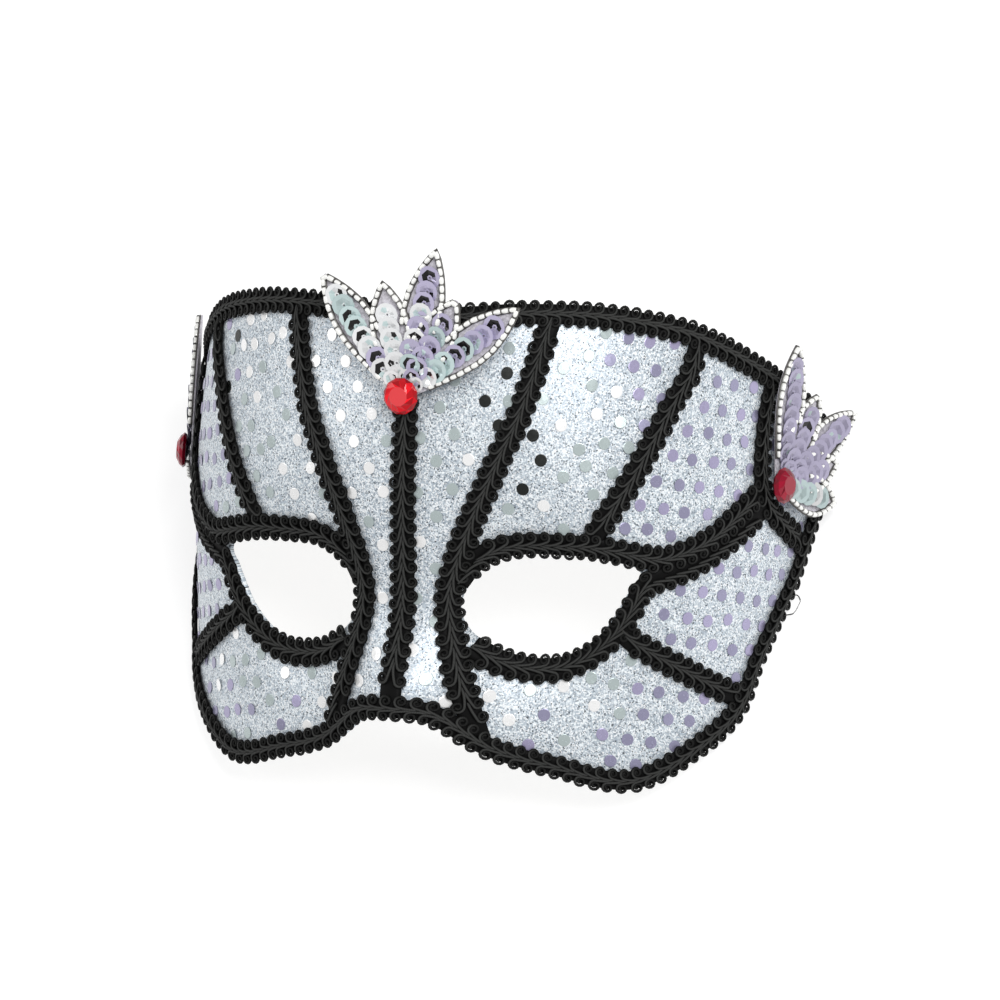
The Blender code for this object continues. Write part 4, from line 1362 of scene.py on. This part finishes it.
class MASK_OT_stones(bpy.types.Operator):
    """Cut the three red stones"""

    bl_idname = "mask.stones"
    bl_label = "Cut stones"

    def execute(self, context):
        trims, colours = context.scene.mask_trims, context.scene.mask_colours
        look = stone_look()
        seat = FAN_HUB_THICKNESS - LEAF_STAGGER + CLEARANCE
        for order, (side, place, flip, _, depth) in enumerate(fans()):
            rng = np.random.default_rng(trims.seed + order)
            rings = []
            for radius, height, turn in STONE_RINGS:
                angles = ring_turns(STONE_FACETS) + turn * 2 * math.pi / STONE_FACETS
                across = radius * STONE_RADIUS * np.stack([np.cos(angles), np.sin(angles)], axis=-1)
                rings.append(np.pad(across, ((0, 0), (0, 1)), constant_values=seat + height * STONE_HEIGHT))
            cloud = np.array(rings)[None]
            index = np.arange(len(rings) * STONE_FACETS).reshape(len(rings), STONE_FACETS)
            here, ahead = index[:-1], index[1:]
            before = np.stack([here, np.roll(here, -1, axis=1), ahead], axis=-1)
            after = np.stack([np.roll(here, -1, axis=1), np.roll(ahead, -1, axis=1), ahead], axis=-1)
            colour = np.array(colours.stone) * np.array(depth)
            first = painted_facet_tints(rng, colour)
            second = painted_facet_tints(rng, colour)
            # painted highlight on the table facet, painted shade on the back
            table = np.clip(colour + TABLE_PAINTED_HIGHLIGHT * depth[0], 0.0, 1.0) * np.ones((1, STONE_FACETS, 3))
            back = colour * BACK_SHADE * np.ones((1, STONE_FACETS, 3))
            blocks = [(before, None, first), (after, None, second)]
            blocks += [(index[-1:], None, table), (index[:1, ::-1], None, back)]
            points, faces, _, tint = join_blocks(oriented([(cloud, blocks)], place, flip))
            piece = make_piece(side + "_cut_stone", points, faces, [look], tint=tint, rounded=False)
            fit(piece, "stone", side + "_stone")
        return {"FINISHED"}


# Loose threads

# The loop of thread at the right edge. Columns: along, up and rise of its points, metres.
THREAD_LOOP = np.array([
    (0.1090, -0.0050, 0.0012), (0.1140, -0.0046, 0.0022), (0.1156, -0.0068, 0.0026),
    (0.1140, -0.0092, 0.0022), (0.1085, -0.0092, 0.0012),
])
THREAD_RADIUS = 0.00016
THREAD_SIDES = 6


class MASK_OT_threads(bpy.types.Operator):
    """Add the loop of loose thread that stands off the braid"""

    bl_idname = "mask.threads"
    bl_label = "Loose threads"

    def execute(self, context):
        flat = smooth(THREAD_LOOP[:, :2])
        steps = np.linspace(0, len(THREAD_LOOP) - 1, len(flat))
        rise = np.interp(steps, np.arange(len(THREAD_LOOP)), THREAD_LOOP[:, 2])
        path = np.concatenate([flat, rise[:, None]], axis=1)[None]
        cloud, faces = tube_block(path, THREAD_RADIUS, THREAD_SIDES)
        points, blocks, uv, _ = join_blocks([(press(cloud), faces)])
        points[:, 2] = np.maximum(points[:, 2], 0.0)
        look = gimp_look(context.scene.mask_colours)
        fit(make_piece("edge_thread_loop", points, blocks, [look], uv=uv), "braid")
        return {"FINISHED"}


# The stage

def lay_direction(vector):
    """A direction of the upright mask after it is laid down."""
    return lay(np.asarray(vector)[None])[0] - LYING_SHIFT


def view_axes():
    """Right, up and back of the photograph's view on the lying mask."""
    a, e, r = VIEW_AZIMUTH, VIEW_ELEVATION, VIEW_ROLL
    back = np.array([math.sin(a) * math.cos(e), -math.cos(a) * math.cos(e), math.sin(e)])
    right = np.array([math.cos(a), math.sin(a), 0.0])
    up = np.array([-math.sin(a) * math.sin(e), math.cos(a) * math.sin(e), math.cos(e)])
    turned_right = right * math.cos(r) + up * math.sin(r)
    turned_up = up * math.cos(r) - right * math.sin(r)
    return [lay_direction(axis) for axis in (turned_right, turned_up, back)]


def place_camera():
    """The camera at the photograph's angle to the mask."""
    right, up, back = view_axes()
    target = lay(VIEW_TARGET[None])[0]
    camera = bpy.data.objects.new("camera", bpy.data.cameras.new("camera"))
    camera.data.lens = VIEW_LENS
    camera.data.clip_end = 20.0
    axes = Matrix([Vector(right), Vector(up), Vector(back)]).transposed().to_4x4()
    camera.matrix_world = Matrix.Translation(Vector(target + VIEW_DISTANCE * back)) @ axes
    bpy.context.scene.collection.objects.link(camera)
    bpy.context.scene.camera = camera


def add_lamp(name, direction, distance, size, power):
    """A soft square lamp that looks at the mask from a direction of the view: right, up, back."""
    way = Vector(np.array(direction) @ np.array(view_axes())).normalized()
    lamp = bpy.data.objects.new(name, bpy.data.lights.new(name, "AREA"))
    lamp.data.shape = "SQUARE"
    lamp.data.size = size
    lamp.data.energy = power
    target = Vector(lay(VIEW_TARGET[None])[0])
    facing = way.to_track_quat("Z", "Y").to_matrix().to_4x4()
    lamp.matrix_world = Matrix.Translation(target + way * distance) @ facing
    bpy.context.scene.collection.objects.link(lamp)


class MASK_OT_stage(bpy.types.Operator):
    """Set the plain floor, the soft studio light and the photograph's camera"""

    bl_idname = "mask.stage"
    bl_label = "Studio stage"

    def execute(self, context):
        colours = context.scene.mask_colours
        corners = FLOOR_REACH * np.array([(-1, -1, 0), (1, -1, 0), (1, 1, 0), (-1, 1, 0)])
        floor = make_piece("studio_floor", corners, [np.array([[0, 1, 2, 3]])], [floor_look(colours)])
        world = bpy.data.worlds.new("studio")
        world.use_nodes = True
        sky = world.node_tree.nodes["Background"].inputs
        sky["Color"].default_value = (1.0, 1.0, 1.0, 1.0)
        sky["Strength"].default_value = SKY_STRENGTH
        context.scene.world = world
        for name, settings in LAMPS.items():
            add_lamp(name, *settings)
        context.scene.view_settings.view_transform = "Standard"
        place_camera()
        return {"FINISHED"}


class MASK_PT_panel(bpy.types.Panel):
    """The mask's tools, in the 3D view's sidebar."""

    bl_label = "Carnival Half Mask"
    bl_idname = "MASK_PT_panel"
    bl_space_type = "VIEW_3D"
    bl_region_type = "UI"
    bl_category = "Mask"

    def draw(self, context):
        for group in (context.scene.mask_trims, context.scene.mask_colours):
            for key in group.__annotations__:
                self.layout.prop(group, key)
        for operator in OPERATORS:
            self.layout.operator(operator.bl_idname)


OPERATORS = (
    MASK_OT_cloth, MASK_OT_spangles, MASK_OT_braids, MASK_OT_fans, MASK_OT_stones, MASK_OT_threads,
    MASK_OT_stage,
)
CLASSES = (MaskTrims, MaskColours) + OPERATORS + (MASK_PT_panel,)


def register():
    """Register the classes and hang the settings on the scene."""
    for each in CLASSES:
        bpy.utils.register_class(each)
    bpy.types.Scene.mask_trims = PointerProperty(type=MaskTrims)
    bpy.types.Scene.mask_colours = PointerProperty(type=MaskColours)


def unregister():
    """Take the settings and the classes away again."""
    del bpy.types.Scene.mask_colours
    del bpy.types.Scene.mask_trims
    for each in reversed(CLASSES):
        bpy.utils.unregister_class(each)


def main():
    """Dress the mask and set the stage."""
    register()
    bpy.ops.mask.cloth()
    bpy.ops.mask.spangles()
    bpy.ops.mask.braids()
    bpy.ops.mask.fans()
    bpy.ops.mask.stones()
    bpy.ops.mask.threads()
    bpy.ops.mask.stage()


if __name__ == "__main__":
    main()
